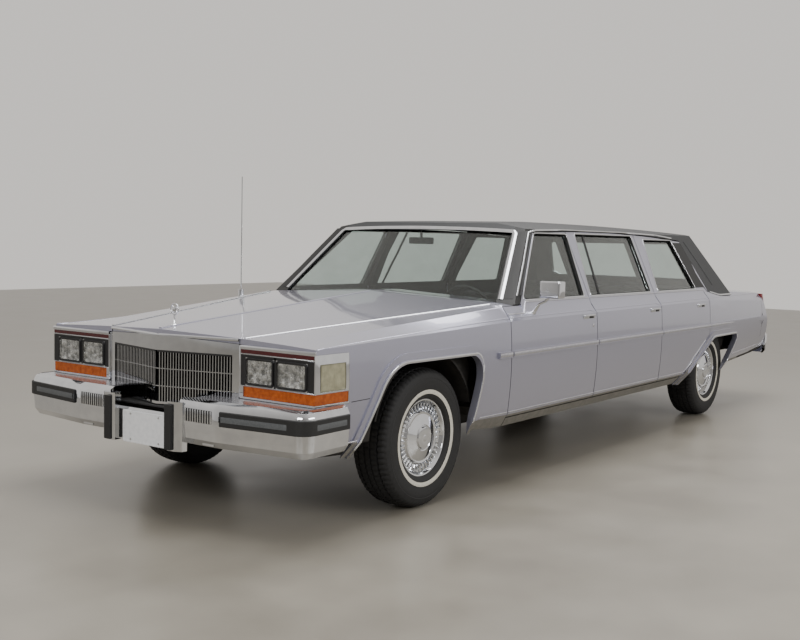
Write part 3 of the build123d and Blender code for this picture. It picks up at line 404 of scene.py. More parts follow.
# a cleaned copy of a CAD panel with softened edges, a finish chosen for each face
def refine(node, body, materials, choose=None, bevel=0.0018):
    source = frame["nodes"][node].data
    bm = bmesh.new()
    points = [bm.verts.new(v.co) for v in source.vertices]
    for p in source.polygons:
        try:
            bm.faces.new([points[i] for i in p.vertices])
        except ValueError:
            pass
    weld(bm)
    for v in bm.verts:
        if abs(v.co.z - mouldingZ) < 0.02 and abs(v.co.y - centreY) > mouldingFace:
            v.co.y -= math.copysign(mouldingStep, v.co.y - centreY)
    bmesh.ops.dissolve_limit(bm, angle_limit=math.radians(0.4), verts=bm.verts, edges=bm.edges)
    bmesh.ops.recalc_face_normals(bm, faces=bm.faces)
    bm.normal_update()
    for face in bm.faces:
        c = face.calc_center_median()
        side = 1 if c.y > centreY else -1
        local = Vector((c.x - axleX, abs(c.y - centreY), c.z))
        normal = Vector((face.normal.x, face.normal.y * side, face.normal.z))
        face.material_index = choose(local, normal) if choose else 0
    made = keep(node + ".skin", body, bm, materials, 30)
    if bevel:
        soft = made.modifiers.new("softEdges", "BEVEL")
        soft.width = bevel
        soft.segments = 2
        soft.limit_method = "ANGLE"
        soft.angle_limit = math.radians(32)
        soft.harden_normals = True
    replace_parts(made, node)
    return made


beltZ = 1.003


# painted panels: lining inside, black seals round the window openings, paint on the side moulding (its satin
# face is a strip laid later)
def panelLook(c, n):
    if c.z > beltZ + 0.006:
        if n.y > 0.45:
            return 0
        return 3 if n.y < -0.45 else 2
    if n.y < -0.5 and c.y < 0.93:
        return 3
    # low outward faces take the darker lower paint, painted shade
    return 4 if c.z < 0.4 and n.y > -0.3 else 0


def fenderLook(c, n):
    if n.y < -0.5 or (n.z < -0.5 and c.y < 0.9):
        return 3
    # low outward faces take the darker lower paint, painted shade
    return 4 if c.z < 0.41 and n.y > 0.3 else 0


doorRows = ("front_door", "middle_door", "rear_door")
for hand in ("left", "right"):
    for row in doorRows:
        door = f"{hand}_{row}"
        refine(door, door, [paint, satin, rubber, doorCloth, shadedLowerPaint], panelLook)
    for row in ("front_fender", "quarter_panel"):
        refine(f"{hand}_{row}", "root", [paint, satin, rubber, frameSteel, shadedLowerPaint], fenderLook)
    # the side frame's low outward faces take the darker lower paint, painted shade
    refine(hand + "_side_frame", "root", [paint, blackTrim, shadedLowerPaint],
           lambda c, n: (2 if n.y > 0.3 else 1) if c.z < 0.5 else 1)
refine("hood", "hood", [paint, frameSteel], lambda c, n: 1 if n.z < -0.5 else 0)
refine("cowl", "root", [paint, blackTrim], lambda c, n: 0 if n.z > 0.2 else 1)
refine("trunk_lid", "trunk_lid", [paint, frameSteel],
       lambda c, n: 1 if n.z < -0.5 or n.x > 0.5 else 0)
refine("tail_panel", "root", [paint])


def roofLook(c, n):
    if c.x > -1.33 and c.z < 1.388:
        return 2
    return 1 if n.z < -0.6 and c.y < 0.66 else 0


refine("roof", "root", [vinyl, doorCloth, blackTrim], roofLook, bevel=0.004)
for node, finish, bevel in (("lamp_bezels", chrome, 0.0012), ("front_bumper", chrome, 0.003),
                            ("rear_bumper", chrome, 0.003), ("bumper_guards", rubber, 0.003)):
    refine(node, "root", [finish], bevel=bevel)
refine("grille", "root", [chrome, brushed],
       lambda c, n: 1 if c.z > 0.792 and n.x > 0.5 else 0, bevel=0.0006)
for node, finish, bevel in (("tail_lamps", redLens, 0.003), ("dashboard", dashVinyl, 0.012),
                            ("rear_deck", doorCloth, 0.004)):
    refine(node, "root", [finish], bevel=bevel)
print("panels refined")

panes = [f"{hand}_{row}_glass" for hand in ("left", "right") for row in doorRows]
plainNodes = {
    glass: ("windshield", "rear_window", *panes),
    chrome: ("antenna",),
    castIron: ("engine",),
    frameSteel: ("exhaust", "floor_pan", "frame_rails", "front_suspension", "fuel_tank",
                 "rear_axle", "wheel_houses", "left_knuckle", "right_knuckle"),
    blackTrim: ("steering_wheel",),
}
for finish, nodes in plainNodes.items():
    for node in nodes:
        frame["nodes"][node].data.materials[0] = finish
print("plain nodes finished")

# the body's crease: x and height, from the nose to the tail
creaseHeights = ((0.855, 0.849), (-0.7, 0.918), (-3.75, 0.936), (-5.235, 0.936))


def heightAlong(pairs, x):
    for (x0, z0), (x1, z1) in zip(pairs, pairs[1:]):
        if x >= x1:
            return z0 + (z1 - z0) * (x0 - x) / (x0 - x1)
    return pairs[-1][1]


def sideLine(bm, node, start, end, heights, half, rise, look=0, inset=0.0):
    guesses = [at(x, 1.0, heightAlong(heights, x)) for x in stepped(start, end, 0.06)]
    found = [(p - n * inset, n) for p, n in drape(guesses, treeOf(node))]
    strip(bm, found, half, rise, look=look)


def stepped(start, end, step):
    n = max(1, int(abs(end - start) / step))
    return [start + (end - start) * i / n for i in range(n + 1)]


gap = 0.006
for node, body, start, end in sideParts:
    first = seams[start] - gap
    last = seams[end] + gap
    bm = bmesh.new()
    sideLine(bm, node, first, max(last, -5.23), creaseHeights, 0.004, 0.0022)
    if "door" in node:
        sideLine(bm, node, first, last, ((0.9, 0.9965), (-5.3, 0.9965)), 0.0045, 0.003, look=1)
    mouldFrom = min(first, -0.572)
    mouldTo = max(last, -5.13)
    sideLine(bm, node, mouldFrom, mouldTo, ((0.9, 0.7245), (-5.3, 0.7245)), 0.0105, 0.0024,
             look=1, inset=mouldingStep)
    both("Lines." + node.split("left_")[1], body, bm, [paint, satin])

# window openings: corners in (x, z) from the front axle, round which chrome and a black seal run
windows = {
    "left_front_door": ((-0.946, 1.012), (-1.352, 1.384), (-1.762, 1.384), (-1.706, 1.012)),
    "left_middle_door": ((-1.806, 1.012), (-1.886, 1.388), (-2.747, 1.388), (-2.741, 1.012)),
    "left_rear_door": ((-2.879, 1.012), (-2.949, 1.366), (-3.459, 1.366), (-3.601, 1.012)),
}


def offsetLoop(corners, grow, radius, points=6):
    centre = sum((Vector(c) for c in corners), Vector((0, 0))) / len(corners)
    out = []
    count = len(corners)
    for i in range(count):
        a, b, c = (Vector(corners[(i + k) % count]) for k in (-1, 0, 1))
        u = (a - b).normalized()
        v = (c - b).normalized()
        half = u.angle(v) / 2
        away = (b - (b + (u + v).normalized())).normalized()
        corner = b + away * (grow / math.sin(half))
        reach = radius / math.tan(half)
        for k in range(points + 1):
            t = k / points
            out.append((corner + u * reach).lerp(corner, t).lerp(corner.lerp(corner + v * reach, t), t))
    return out


# the window plane leans in from the belt to the drip rail
def windowY(z):
    return 0.885 - 0.4474 * (z - beltZ)


def openingTrim(corners, node, grow, radius=0.022):
    flat = offsetLoop(corners, grow, radius)
    guesses = [at(p.x, windowY(p.y) + 0.004, p.y) for p in flat]
    dense = resample(guesses + guesses[:1], 0.05)[:-1]
    return drape(dense, treeOf(node))


for node, corners in windows.items():
    bm = bmesh.new()
    strip(bm, openingTrim(corners, node, 0.0065), 0.0045, 0.0032, closed=True, look=0)
    strip(bm, openingTrim(corners, node, 0.0012), 0.0028, 0.0014, closed=True, look=1)
    both("Opening." + node.split("left_")[1], node, bm, [chrome, rubber])
print("window trims laid")

# division bar in the front quarter of the middle window
laid("DivisionBar", "left_middle_door", rubber, [at(-1.955, 0.87, 1.014), at(-2.02, 0.74, 1.384)],
     "left_middle_door_glass", 0.011, 0.006, sharp=38, sink=0.004)

# black filler plate behind the rear door window, from its back edge to the door's
fillerRows = ((1.016, -3.612, -3.826), (1.352, -3.476, -3.628))
rearTree = treeOf("left_rear_door")


def fillerPoint(depth):
    def point(u, v):
        z, front, back = (a + (b - a) * v for a, b in zip(*fillerRows))
        place, normal = drape([at(front + (back - front) * u, 1.0, z)], rearTree)[0]
        return place + Vector((0, depth, depth * 0.4))
    return point


bm = bmesh.new()
plateGrid(bm, 5, 10, fillerPoint(0.0022), fillerPoint(-0.001))
both("WindowFiller", "left_rear_door", bm, [rubber])

# wheels: offsets outwards from the wheel's middle plane and radii
coverProfile = (
    (0.0605, 0.0), (0.0605, 0.072), (0.046, 0.118), (0.03, 0.166), (-0.03, 0.170),
    (-0.06, 0.177), (-0.071, 0.184), (-0.074, 0.201), (-0.066, 0.2035), (-0.055, 0.186),
    (-0.03, 0.178), (0.03, 0.178), (0.05, 0.188), (0.056, 0.196), (0.066, 0.204),
    (0.075, 0.2035), (0.081, 0.199), (0.083, 0.192), (0.081, 0.186), (0.072, 0.181),
    (0.062, 0.174), (0.058, 0.166), (0.057, 0.150), (0.062, 0.138), (0.070, 0.132),
    (0.0745, 0.128), (0.0735, 0.122), (0.0725, 0.118), (0.0885, 0.066), (0.0855, 0.0615),
    (0.086, 0.058), (0.0935, 0.053), (0.0955, 0.04), (0.096, 0.022), (0.0955, 0.016),
    (0.0965, 0.0135), (0.0968, 0.006), (0.0968, 0.0),
)
tyreHalf = (
    (0.078, 0.190), (0.088, 0.197), (0.094, 0.204), (0.0985, 0.213), (0.1005, 0.2205),
    (0.1022, 0.2212), (0.1042, 0.231), (0.1048, 0.2422), (0.1040, 0.244), (0.1062, 0.262),
    (0.1073, 0.280), (0.1070, 0.294), (0.1058, 0.2985), (0.1070, 0.301), (0.1058, 0.305),
    (0.1035, 0.314), (0.0995, 0.3255), (0.0925, 0.335), (0.086, 0.3405), (0.076, 0.3445),
    (0.062, 0.3472), (0.0605, 0.3395), (0.0535, 0.3395), (0.052, 0.3483), (0.022, 0.3498),
    (0.0205, 0.342), (0.0135, 0.342), (0.012, 0.35),
)
liner = ((-0.07, 0.2), (-0.09, 0.27), (-0.06, 0.325), (0.06, 0.325), (0.09, 0.27), (0.07, 0.2))
tyreProfile = tyreHalf + tuple((-o, r) for o, r in reversed(tyreHalf)) + liner
shoulderRows = {i for i, (o, r) in enumerate(tyreProfile) if r > 0.334 and abs(o) > 0.05}
centreRows = {i for i, (o, r) in enumerate(tyreProfile) if r > 0.345 and abs(o) < 0.053}
treadSteps = 216


def treadCut(i, k):
    if i in shoulderRows and k % 3 == 0 and i not in centreRows:
        return -0.006
    if i in centreRows and (k + 1) % 3 == 0:
        return -0.005
    return 0


# the fin ring: count, radius, and one fin's size along the radius, round the wheel and outwards
fins = {"count": 40, "radius": 0.156, "size": (0.034, 0.0055, 0.013), "out": 0.066}


# copies of one part by geometry nodes, round a ring or along a line, realised into one mesh
def repeated(name, body, part, finish, values, ring):
    single = keep(name + ".part", None, part, [finish])
    tree = bpy.data.node_groups.new(name + ".copies", "GeometryNodeTree")
    kinds = {"Part": "Object", "Count": "Int", "Finish": "Material"}
    if ring:
        kinds.update({"Radius": "Float", "Centre": "Vector", "Turn": "Vector"})
    else:
        kinds.update({"Start": "Vector", "Step": "Vector"})
    ids = {label: tree.interface.new_socket(label, in_out="INPUT", socket_type="NodeSocket" + kind).identifier
           for label, kind in kinds.items()}
    tree.interface.new_socket("Geometry", in_out="OUTPUT", socket_type="NodeSocketGeometry")
    given = addNode(tree, "NodeGroupInput")
    made = addNode(tree, "NodeGroupOutput")
    source = addNode(tree, "GeometryNodeObjectInfo")
    copies = addNode(tree, "GeometryNodeInstanceOnPoints")
    real = addNode(tree, "GeometryNodeRealizeInstances")
    coat = addNode(tree, "GeometryNodeSetMaterial")
    wire(tree, (given, "Part", source, "Object"), (source, "Geometry", copies, "Instance"))
    if ring:
        points = addNode(tree, "GeometryNodeMeshCircle")
        index = addNode(tree, "GeometryNodeInputIndex")
        share = addNode(tree, "ShaderNodeMath", operation="DIVIDE")
        angle = addNode(tree, "ShaderNodeMath", {1: 2 * math.pi}, operation="MULTIPLY")
        spin = addNode(tree, "ShaderNodeCombineXYZ")
        place = addNode(tree, "GeometryNodeTransform")
        wire(tree, (given, "Count", points, "Vertices"), (given, "Radius", points, "Radius"),
             (index, "Index", share, 0), (given, "Count", share, 1), (share, 0, angle, 0),
             (angle, 0, spin, "Z"), (spin, "Vector", copies, "Rotation"),
             (copies, "Instances", place, "Geometry"), (given, "Centre", place, "Translation"),
             (given, "Turn", place, "Rotation"), (place, "Geometry", real, "Geometry"))
    else:
        points = addNode(tree, "GeometryNodeMeshLine", mode="OFFSET")
        wire(tree, (given, "Count", points, "Count"), (given, "Start", points, "Start Location"),
             (given, "Step", points, "Offset"), (copies, "Instances", real, "Geometry"))
    wire(tree, (points, "Mesh", copies, "Points"), (real, "Geometry", coat, "Geometry"),
         (given, "Finish", coat, "Material"), (coat, "Geometry", made, "Geometry"))
    holder = bpy.data.objects.new(name, bpy.data.meshes.new(name))
    scene.collection.objects.link(holder)
    growth = holder.modifiers.new("copies", "NODES")
    growth.node_group = tree
    for label, value in {"Part": single, "Finish": finish, **values}.items():
        growth[ids[label]] = value
    holder.update_tag()
    bpy.context.view_layer.update()
    bake(holder)
    bpy.data.objects.remove(single)
    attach(holder, body)
    return holder


def finRing(name, body, centre, side, finish):
    bm = bmesh.new()
    length, width, height = fins["size"]
    brick(bm, (-length / 2, -width / 2, -height / 2), (length / 2, width / 2, height / 2), 0.0016, 2)
    for v in bm.verts:
        v.co.y += v.co.z * 0.55
        v.co.y *= 1 + v.co.x * 9
    repeated(name, body, bm, finish, {
        "Count": fins["count"], "Radius": fins["radius"],
        "Centre": centre + Vector((0, side * fins["out"], 0)),
        "Turn": (-side * math.pi / 2, 0, 0)}, True)


for hand, side in (("left", 1), ("right", -1)):
    for end in ("front", "rear"):
        body = f"{hand}_{end}_wheel"
        low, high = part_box(f"{hand}_{end}_tyre")
        centre = (low + high) / 2
        bm = bmesh.new()
        turned(bm, centre, side, coverProfile, 96)
        cover = keep(body + ".cover", body, bm, [chrome], 28)
        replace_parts(cover, body)
        finRing(body + ".fins", body, centre, side, chrome)
        bm = bmesh.new()
        turned(bm, centre, side, tyreProfile, treadSteps, look=lambda i: 1 if 5 <= i <= 6 else 0,
               shape=treadCut)
        rubberTyre = keep(body + ".tyre", body, bm, [tyreRubber, whitewall], 30)
        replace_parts(rubberTyre, f"{hand}_{end}_tyre")
print("wheels and tyres made")


def hit(node, start, way):
    return treeOf(node).ray_cast(start, Vector(way))[0]


def faceX(node, y, z):
    return hit(node, at(1.6, y, z), (-1, 0, 0)).x - axleX


def sideY(node, x, z):
    return hit(node, at(x, 1.6, z), (0, -1, 0)).y - centreY


def ringPath(low, high, radius, points=5):
    (y0, z0), (y1, z1) = low, high
    flat = offsetLoop(((y0, z0), (y0, z1), (y1, z1), (y1, z0)), 0.0, radius, points)
    return [(p.x, p.y) for p in flat]


# head lamps: a folded bright bowl, a fluted lens over it and a black surround
lampRows = {"height": (0.668, 0.782), "inner": (0.493, 0.655), "outer": (0.677, 0.849)}
refine("headlamps", "root", [blackTrim, amber, cornerGlass],
       lambda c, n: 1 if c.z < 0.66 else (2 if c.y > 0.855 or c.x < 0.835 else 0), bevel=0.0015)
lowZ, highZ = lampRows["height"]
for label in ("inner", "outer"):
    y0, y1 = lampRows[label]
    face = faceX("headlamps", (y0 + y1) / 2, (lowZ + highZ) / 2)

    def lampPoint(depth, inset, dome, flute):
        def point(u, v):
            y = y0 + inset + (y1 - y0 - 2 * inset) * u
            z = lowZ + inset + (highZ - lowZ - 2 * inset) * v
            swell = dome * (1 - (2 * u - 1) ** 2) * (1 - (2 * v - 1) ** 2)
            wave = flute * math.sin(2 * math.pi * 9 * u) * (0.4 + 0.6 * math.sin(math.pi * v))
            return at(face + depth + swell + wave, y, z)
        return point

    bm = bmesh.new()
    plateGrid(bm, 40, 14, lampPoint(0.0045, 0.006, -0.003, 0.0006), lampPoint(0.0006, 0.006, 0, 0), 0)
    both("Reflector." + label, "root", bm, [reflector])
    bm = bmesh.new()
    plateGrid(bm, 54, 12, lampPoint(0.011, 0.005, 0.004, 0.0005), lampPoint(0.007, 0.005, 0.003, 0), 0)
    both("Lens." + label, "root", bm, [lensGlass])
    bm = bmesh.new()
    ring = [(at(face + 0.001, y, z), forward) for y, z in ringPath((y0, lowZ), (y1, highZ), 0.014)]
    strip(bm, ring, 0.006, 0.013, closed=True)
    both("Surround." + label, "root", bm, [blackTrim])

# red enamel strip over the lamps with the bright lip of the fender above it
bezelX = faceX("lamp_bezels", 0.665, 0.815)
bezelBack = bezelX - 0.002
bm = bricks(bmesh.new(), ((bezelBack, 0.458, 0.805), (bezelX + 0.0016, 0.892, 0.8225), 0.0008, 1, 1),
            ((bezelX - 0.004, 0.455, 0.824), (bezelX + 0.003, 0.900, 0.8415), 0.003),
            ((bezelBack, 0.458, 0.799), (bezelX + 0.0026, 0.892, 0.8035), 0.001, 1),
            ((bezelBack, 0.458, 0.6565), (bezelX + 0.0026, 0.895, 0.6605), 0.001, 1))
for low, high in (((0.458, 0.6605), (0.4875, 0.799)), ((0.6605, 0.6605), (0.6715, 0.799)),
                  ((0.8545, 0.6605), (0.893, 0.799)), ((0.4875, 0.7875), (0.8545, 0.799))):
    bricks(bm, ((bezelBack, *low), (bezelX + 0.0008, *high), 0.0005, 1, 2))
both("LampLip", "root", bm, [chrome, redStrip, blackTrim])

# cornering lamp: an upright fluted lens on the side
bm = bmesh.new()
sideFace = sideY("headlamps", 0.75, 0.72)


def cornerPoint(depth, flute):
    def point(u, v):
        wave = flute * math.cos(2 * math.pi * 14 * u)
        return at(0.672 + 0.162 * u, sideFace + depth + wave, 0.671 + 0.108 * v)
    return point


plateGrid(bm, 84, 2, cornerPoint(0.0022, 0.0006), cornerPoint(0.0004, 0), 0)
both("CorneringLens", "root", bm, [cornerGlass])

# blackened core behind the grille
bm = bricks(bmesh.new(), ((0.815, -0.402, 0.548), (0.832, 0.402, 0.84), 0.004))
keep("radiatorCore", "root", bm, [radiatorBlack])
bm = bmesh.new()
brick(bm, (-0.004, -0.003, -0.137), (0.004, 0.003, 0.137), 0.0012, 1)
repeated("radiatorTubes", "root", bm, radiatorBlack,
         {"Count": 27, "Start": at(0.834, -0.39, 0.693), "Step": (0, 0.03, 0)}, False)

# shadow strips under the grille header, bright posts beside it and the black dam under the nose
bm = bmesh.new()
for start, end in ((0.008, 0.404), (-0.404, -0.008)):
    found = [(at(0.9685 - 0.231 * abs(y), y, 0.786), Vector((1, 0.231 * (1 if y > 0 else -1), 0)))
             for y in stepped(start, end, 0.08)]
    strip(bm, found, 0.0045, 0.0006)
keep("grilleShadow", "root", bm, [blackTrim])
bm = bricks(bmesh.new(), ((0.845, 0.4425, 0.601), (0.8675, 0.4505, 0.838), 0.002))
both("GrillePost", "root", bm, [chrome])
bm = bricks(bmesh.new(), ((0.835, -0.44, 0.375), (0.845, 0.44, 0.556), 0.003),
            ((0.846, -0.275, 0.524), (0.99, 0.275, 0.531), 0.002))
keep("noseDam", "root", bm, [blackTrim])

# number plate: a plain enamelled sheet with a raised rim and four screws
plate = {"low": (-0.138, 0.352), "high": (0.164, 0.504), "thick": 0.0016}
plateX = faceX("front_bumper", 0.05, 0.43) + 0.0006
bm = bmesh.new()
rim = ringPath(plate["low"], plate["high"], 0.012)
loop(bm, [[at(plateX + d, y, z) for y, z in rim] for d in (0, plate["thick"])])
inner = ringPath((plate["low"][0] + 0.005, plate["low"][1] + 0.005),
                 (plate["high"][0] - 0.005, plate["high"][1] - 0.005), 0.009)
strip(bm, [(at(plateX + plate["thick"], y, z), forward) for y, z in inner], 0.0018, 0.0012, closed=True)


# a low domed head facing along a direction
def stud(bm, place, way, radius, height, look=0):
    way = Vector(way).normalized()
    side = way.orthogonal().normalized()
    other = way.cross(side)
    rings = []
    for r, h in ((1.0, 0), (1.0, 0.35), (0.75, 0.8), (0.35, 1.0), (0.12, 1.0), (0.1, 0.8)):
        rings.append([place + (side * math.cos(a) + other * math.sin(a)) * (radius * r) + way * (height * h)
                      for a in turns(20)])
    loop(bm, rings, look=lambda i, k: look)


for y, z in ((-0.083, 0.488), (0.109, 0.488), (-0.083, 0.368), (0.109, 0.368)):
    stud(bm, at(plateX + plate["thick"], y, z), (1, 0, 0), 0.006, 0.0022, look=1)
plateMade = keep("frontPlate", "root", bm, [plateWhite, chrome])
for face in plateMade.data.polygons:
    if len(face.vertices) > 10 and face.area < 0.001:
        face.material_index = 1

# upright slots beside each guard, and the grey band let into the bumper rubber
slotX = faceX("front_bumper", 0.46, 0.5275)
bm = bricks(bmesh.new(), ((slotX - 0.012, 0.284, 0.497), (slotX + 0.0008, 0.450, 0.557), 0.0015))
both("BumperSlots", "root", bm, [blackTrim])
for label, side in (("left", 1), ("right", -1)):
    bm = bmesh.new()
    brick(bm, (-0.004, -0.0036, -0.029), (0.004, 0.0036, 0.029), 0.002, 2)
    repeated(label + "SlotRibs", "root", bm, chrome,
             {"Count": 11, "Start": at(slotX, side * 0.2875, 0.527), "Step": (0, side * 0.0159, 0)}, False)
bm = bmesh.new()
band = [(at(1.4, y, 0.527), (-1, 0, 0)) for y in stepped(0.512, 0.905, 0.04)]
found = [drape([g], treeOf("bumper_guards"), way)[0] for g, way in band]
found += drape([at(x, 1.4, 0.527) for x in stepped(0.93, 0.712, 0.05)], treeOf("bumper_guards"))
strip(bm, found, 0.0125, 0.0012)
both("BumperBand", "root", bm, [greyBand])
print("front end made")

# ledge filler between the bumper and the lamps
bm = bmesh.new()
ledge = ((0.80, 0.285), (1.012, 0.285), (1.005, 0.45), (0.962, 0.905), (0.80, 0.905))
loop(bm, [[at(x, y, z) for x, y in ledge] for z in (0.5905, 0.5965)])
both("BumperLedge", "root", bm, [satin])

# bright lines of the hood and the front fenders
fenderEdge = [at(0.845, 0.457, 1.0), at(0.4, 0.555, 1.0), at(-0.2, 0.697, 1.0), at(-0.69, 0.812, 1.0)]
laid("FenderBrightLine", "root", chrome, fenderEdge, "left_front_fender", 0.0065, 0.0045, 0.06, 38,
     way=(0, 0, -1))
bm = bmesh.new()
found = [(at(0.9575 - 0.207 * abs(y), y, 0.861), Vector((1, math.copysign(0.2, y), 0.15)))
         for y in stepped(-0.438, 0.438, 0.04)]
strip(bm, found, 0.0065, 0.0045)
keep("hoodLip", "hood", bm, [chrome])
bm = bmesh.new()
strip(bm, drape([at(x, 0, 1.05) for x in stepped(0.94, -0.66, 0.05)], treeOf("hood"), (0, 0, -1)),
      0.011, 0.0035)
keep("hoodCrease", "hood", bm, [paint], 50)

# hood ornament: a plain ring round a small disc on a foot
ornament = {"x": 0.853, "z": 0.977, "ring": 0.0255, "wire": 0.0032, "disc": 0.0135}
hoodTop = hit("hood", at(ornament["x"], 0, 1.3), (0, 0, -1)).z
bm = bmesh.new()
rings = []
for k in range(49):
    a = 2 * math.pi * (k % 48) / 48
    out = Vector((0, math.cos(a), math.sin(a)))
    mid = at(ornament["x"], 0, ornament["z"]) + out * ornament["ring"]
    rings.append([mid + (out * math.cos(b) + forward * math.sin(b)) * ornament["wire"]
                  for b in turns(12)])
loop(bm, rings, capped=False)
weld(bm)
stud(bm, at(ornament["x"] + 0.0005, 0, ornament["z"]), (1, 0, 0), ornament["disc"], 0.003)
stud(bm, at(ornament["x"] - 0.0005, 0, ornament["z"]), (-1, 0, 0), ornament["disc"], 0.003)
for a in (0.25, 0.75, 1.25, 1.75):
    spoke = Vector((0, math.cos(a * math.pi), math.sin(a * math.pi)))
    mid = at(ornament["x"], 0, ornament["z"])
    strip(bm, [(mid + spoke * 0.010, forward), (mid + spoke * 0.025, forward)], 0.0016, 0.0015,
          sink=0.0015)
foot = [(0.013, 0.0), (0.0125, 0.003), (0.007, 0.006), (0.0035, 0.011),
        (0.003, ornament["z"] - 0.027 - hoodTop)]
loop(bm, [[at(ornament["x"] + 1.5 * r * math.cos(a), 0.7 * r * math.sin(a), hoodTop - 0.001 + h)
           for a in turns(16)] for r, h in foot])
keep("hoodOrnament", "hood", bm, [chrome])

# windshield surround, drip rails, arches and sill lines
bodyTrees = treeOf("roof", "windshield")
bm = bmesh.new()
halfPath = [(-0.842, 0.796, 1.004), (-1.05, 0.722, 1.2), (-1.222, 0.658, 1.378), (-1.232, 0.640, 1.396),
            (-1.216, 0.45, 1.402), (-1.205, 0.2, 1.404)]
path = [at(*p) for p in halfPath] + [at(-1.204, 0, 1.404)] + [at(x, -y, z) for x, y, z in reversed(halfPath)]
strip(bm, drape(resample(path, 0.05), bodyTrees, (-0.72, 0, -0.69)), 0.014, 0.005)
keep("windshieldSurround", "root", bm, [chrome], 45)
pillar = [at(-0.860, 0.830, 1.008), at(-1.07, 0.752, 1.2), at(-1.262, 0.680, 1.385)]
laid("PillarSeal", "root", rubber, pillar, "roof", 0.027, 0.0014, 0.05, way=(-0.6, -0.7, -0.4))
rail = [at(-0.885, 0.872, 1.03), at(-1.08, 0.80, 1.20), at(-1.285, 0.712, 1.389),
        at(-1.36, 0.708, 1.404), at(-1.7, 0.708, 1.413), at(-2.6, 0.708, 1.413),
        at(-3.2, 0.708, 1.404), at(-3.47, 0.71, 1.386)]
laid("DripRail", "root", chrome, rail, "roof", 0.0055, 0.005, 0.06)


def roundedLine(corners, radii, points=7):
    out = [Vector(corners[0])]
    for i in range(1, len(corners) - 1):
        a, b, c = (Vector(corners[i + k]) for k in (-1, 0, 1))
        u, v = (a - b).normalized(), (c - b).normalized()
        reach = min(radii[i - 1] / math.tan(u.angle(v) / 2), 0.48 * (a - b).length, 0.48 * (c - b).length)
        for k in range(points + 1):
            t = k / points
            out.append((b + u * reach).lerp(b, t).lerp(b.lerp(b + v * reach, t), t))
    return out + [Vector(corners[-1])]


arches = {
    "Front": ("left_front_fender", 0.0, ((-0.338, 0.36), (-0.405, 0.615), (-0.405, 0.744),
                                         (0.345, 0.744), (0.575, 0.37)), (0.15, 0.095, 0.23)),
    "Rear": ("left_quarter_panel", -3.95, ((-0.245, 0.39), (-0.44, 0.585), (-0.44, 0.628),
                                           (0.125, 0.628), (0.19, 0.60)), (0.06, 0.06, 0.2)),
}
for label, (node, shift, corners, radii) in arches.items():
    flat = roundedLine(corners, radii)
    guesses = []
    for i, p in enumerate(flat):
        along = (flat[min(i + 1, len(flat) - 1)] - flat[max(i - 1, 0)]).normalized()
        away = Vector((-along.y, along.x))
        q = p + away * 0.008
        guesses.append(at(shift + q.x, 1.0, q.y))
    laid("ArchLip." + label, "root", chrome, guesses, node, 0.0065, 0.0022)

sillLines = (
    ("left_front_fender", "root", -0.425, -0.698, 0.403, 0.403),
    ("left_front_fender", "root", 0.70, 0.585, 0.417, 0.417),
    ("left_front_door", "left_front_door", -0.71, -1.762, 0.403, 0.403),
    ("left_middle_door", "left_middle_door", -1.774, -2.793, 0.403, 0.403),
    ("left_rear_door", "left_rear_door", -2.805, -3.34, 0.403, 0.403),
    ("left_quarter_panel", "root", -4.335, -5.10, 0.46, 0.49),
)
lowerArch = [at(-3.95 + x, 1.0, z) for x, z in ((0.262, 0.58), (0.415, 0.488), (0.60, 0.376))]
laid("ArchLip.door", "left_rear_door", chrome, lowerArch, "left_rear_door", 0.0065, 0.0022)
for number, (node, body, start, end, z0, z1) in enumerate(sillLines):
    bm = bmesh.new()
    sideLine(bm, node, start, end, ((start + 0.001, z0), (end - 0.001, z1)), 0.0042, 0.0032)
    both(f"SillLine.{number}", body, bm, [satin])

# thin dark lines: behind the bezel and up the tail
bm = bmesh.new()
sideLine(bm, "left_front_fender", 0.63, 0.5, ((0.7, 0.6), (0.4, 0.606)), 0.0018, 0.0007)
tailLine = [at(-5.10, 1.0, z) for z in stepped(0.56, 0.92, 0.05)]
strip(bm, drape(tailLine, treeOf("left_quarter_panel")), 0.002, 0.0007)
both("PanelJoints", "root", bm, [rubber])

# door handles: a bright bar over a black recess, and the front lock
handles = {"left_front_door": -1.66, "left_middle_door": -2.69, "left_rear_door": -3.57}
for node, x in handles.items():
    y = sideY(node, x, 0.885)
    bm = bricks(bmesh.new(), ((x - 0.072, y - 0.006, 0.873), (x + 0.082, y + 0.004, 0.899), 0.003),
                ((x - 0.052, y + 0.001, 0.8745), (x + 0.006, y + 0.0052, 0.889), 0.0015, 2, 1),
                ((x - 0.066, y + 0.003, 0.8885), (x + 0.076, y + 0.0135, 0.897), 0.0035, 3))
    if node == "left_front_door":
        stud(bm, at(-1.71, sideY(node, -1.71, 0.83), 0.83), (0, 1, 0), 0.0115, 0.003)
    both("Handle." + node.split("left_")[1], node, bm, [chrome, blackTrim])

# door mirror: a bright shell with a dark glass behind, on a curved foot
mirror = {"low": (-1.038, 0.972, 1.022), "high": (-0.963, 1.098, 1.118)}
bm = bricks(bmesh.new(), (mirror["low"], mirror["high"], 0.012, 4),
            ((-1.0395, 0.981, 1.031), (-1.036, 1.089, 1.109), 0.001, 1, 1))
footY = 0.925
shoulder = hit("left_front_door", at(-1.0, footY, 1.2), (0, 0, -1))
stalk = [Vector((shoulder.x, centreY + footY - 0.012, shoulder.z - 0.003)),
         Vector((shoulder.x, centreY + footY, shoulder.z + 0.012)),
         at(-1.0, footY + 0.03, 0.985), at(-1.0, footY + 0.07, 1.003), at(-1.0, footY + 0.09, 1.03)]
widths = (0.026, 0.016, 0.011, 0.011, 0.014)
bends = []
for i, p in enumerate(stalk):
    along = (stalk[min(i + 1, 4)] - stalk[max(i - 1, 0)]).normalized()
    other = forward.cross(along)
    bends.append([p + forward * (widths[i] * 1.3 * math.cos(a)) + other * (widths[i] * 0.6 * math.sin(a))
                  for a in turns(16)])
loop(bm, bends)
mirrorMade = keep("doorMirrorSet", "left_front_door", bm, [chrome, blackTrim])
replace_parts(mirrorMade, "door_mirror")

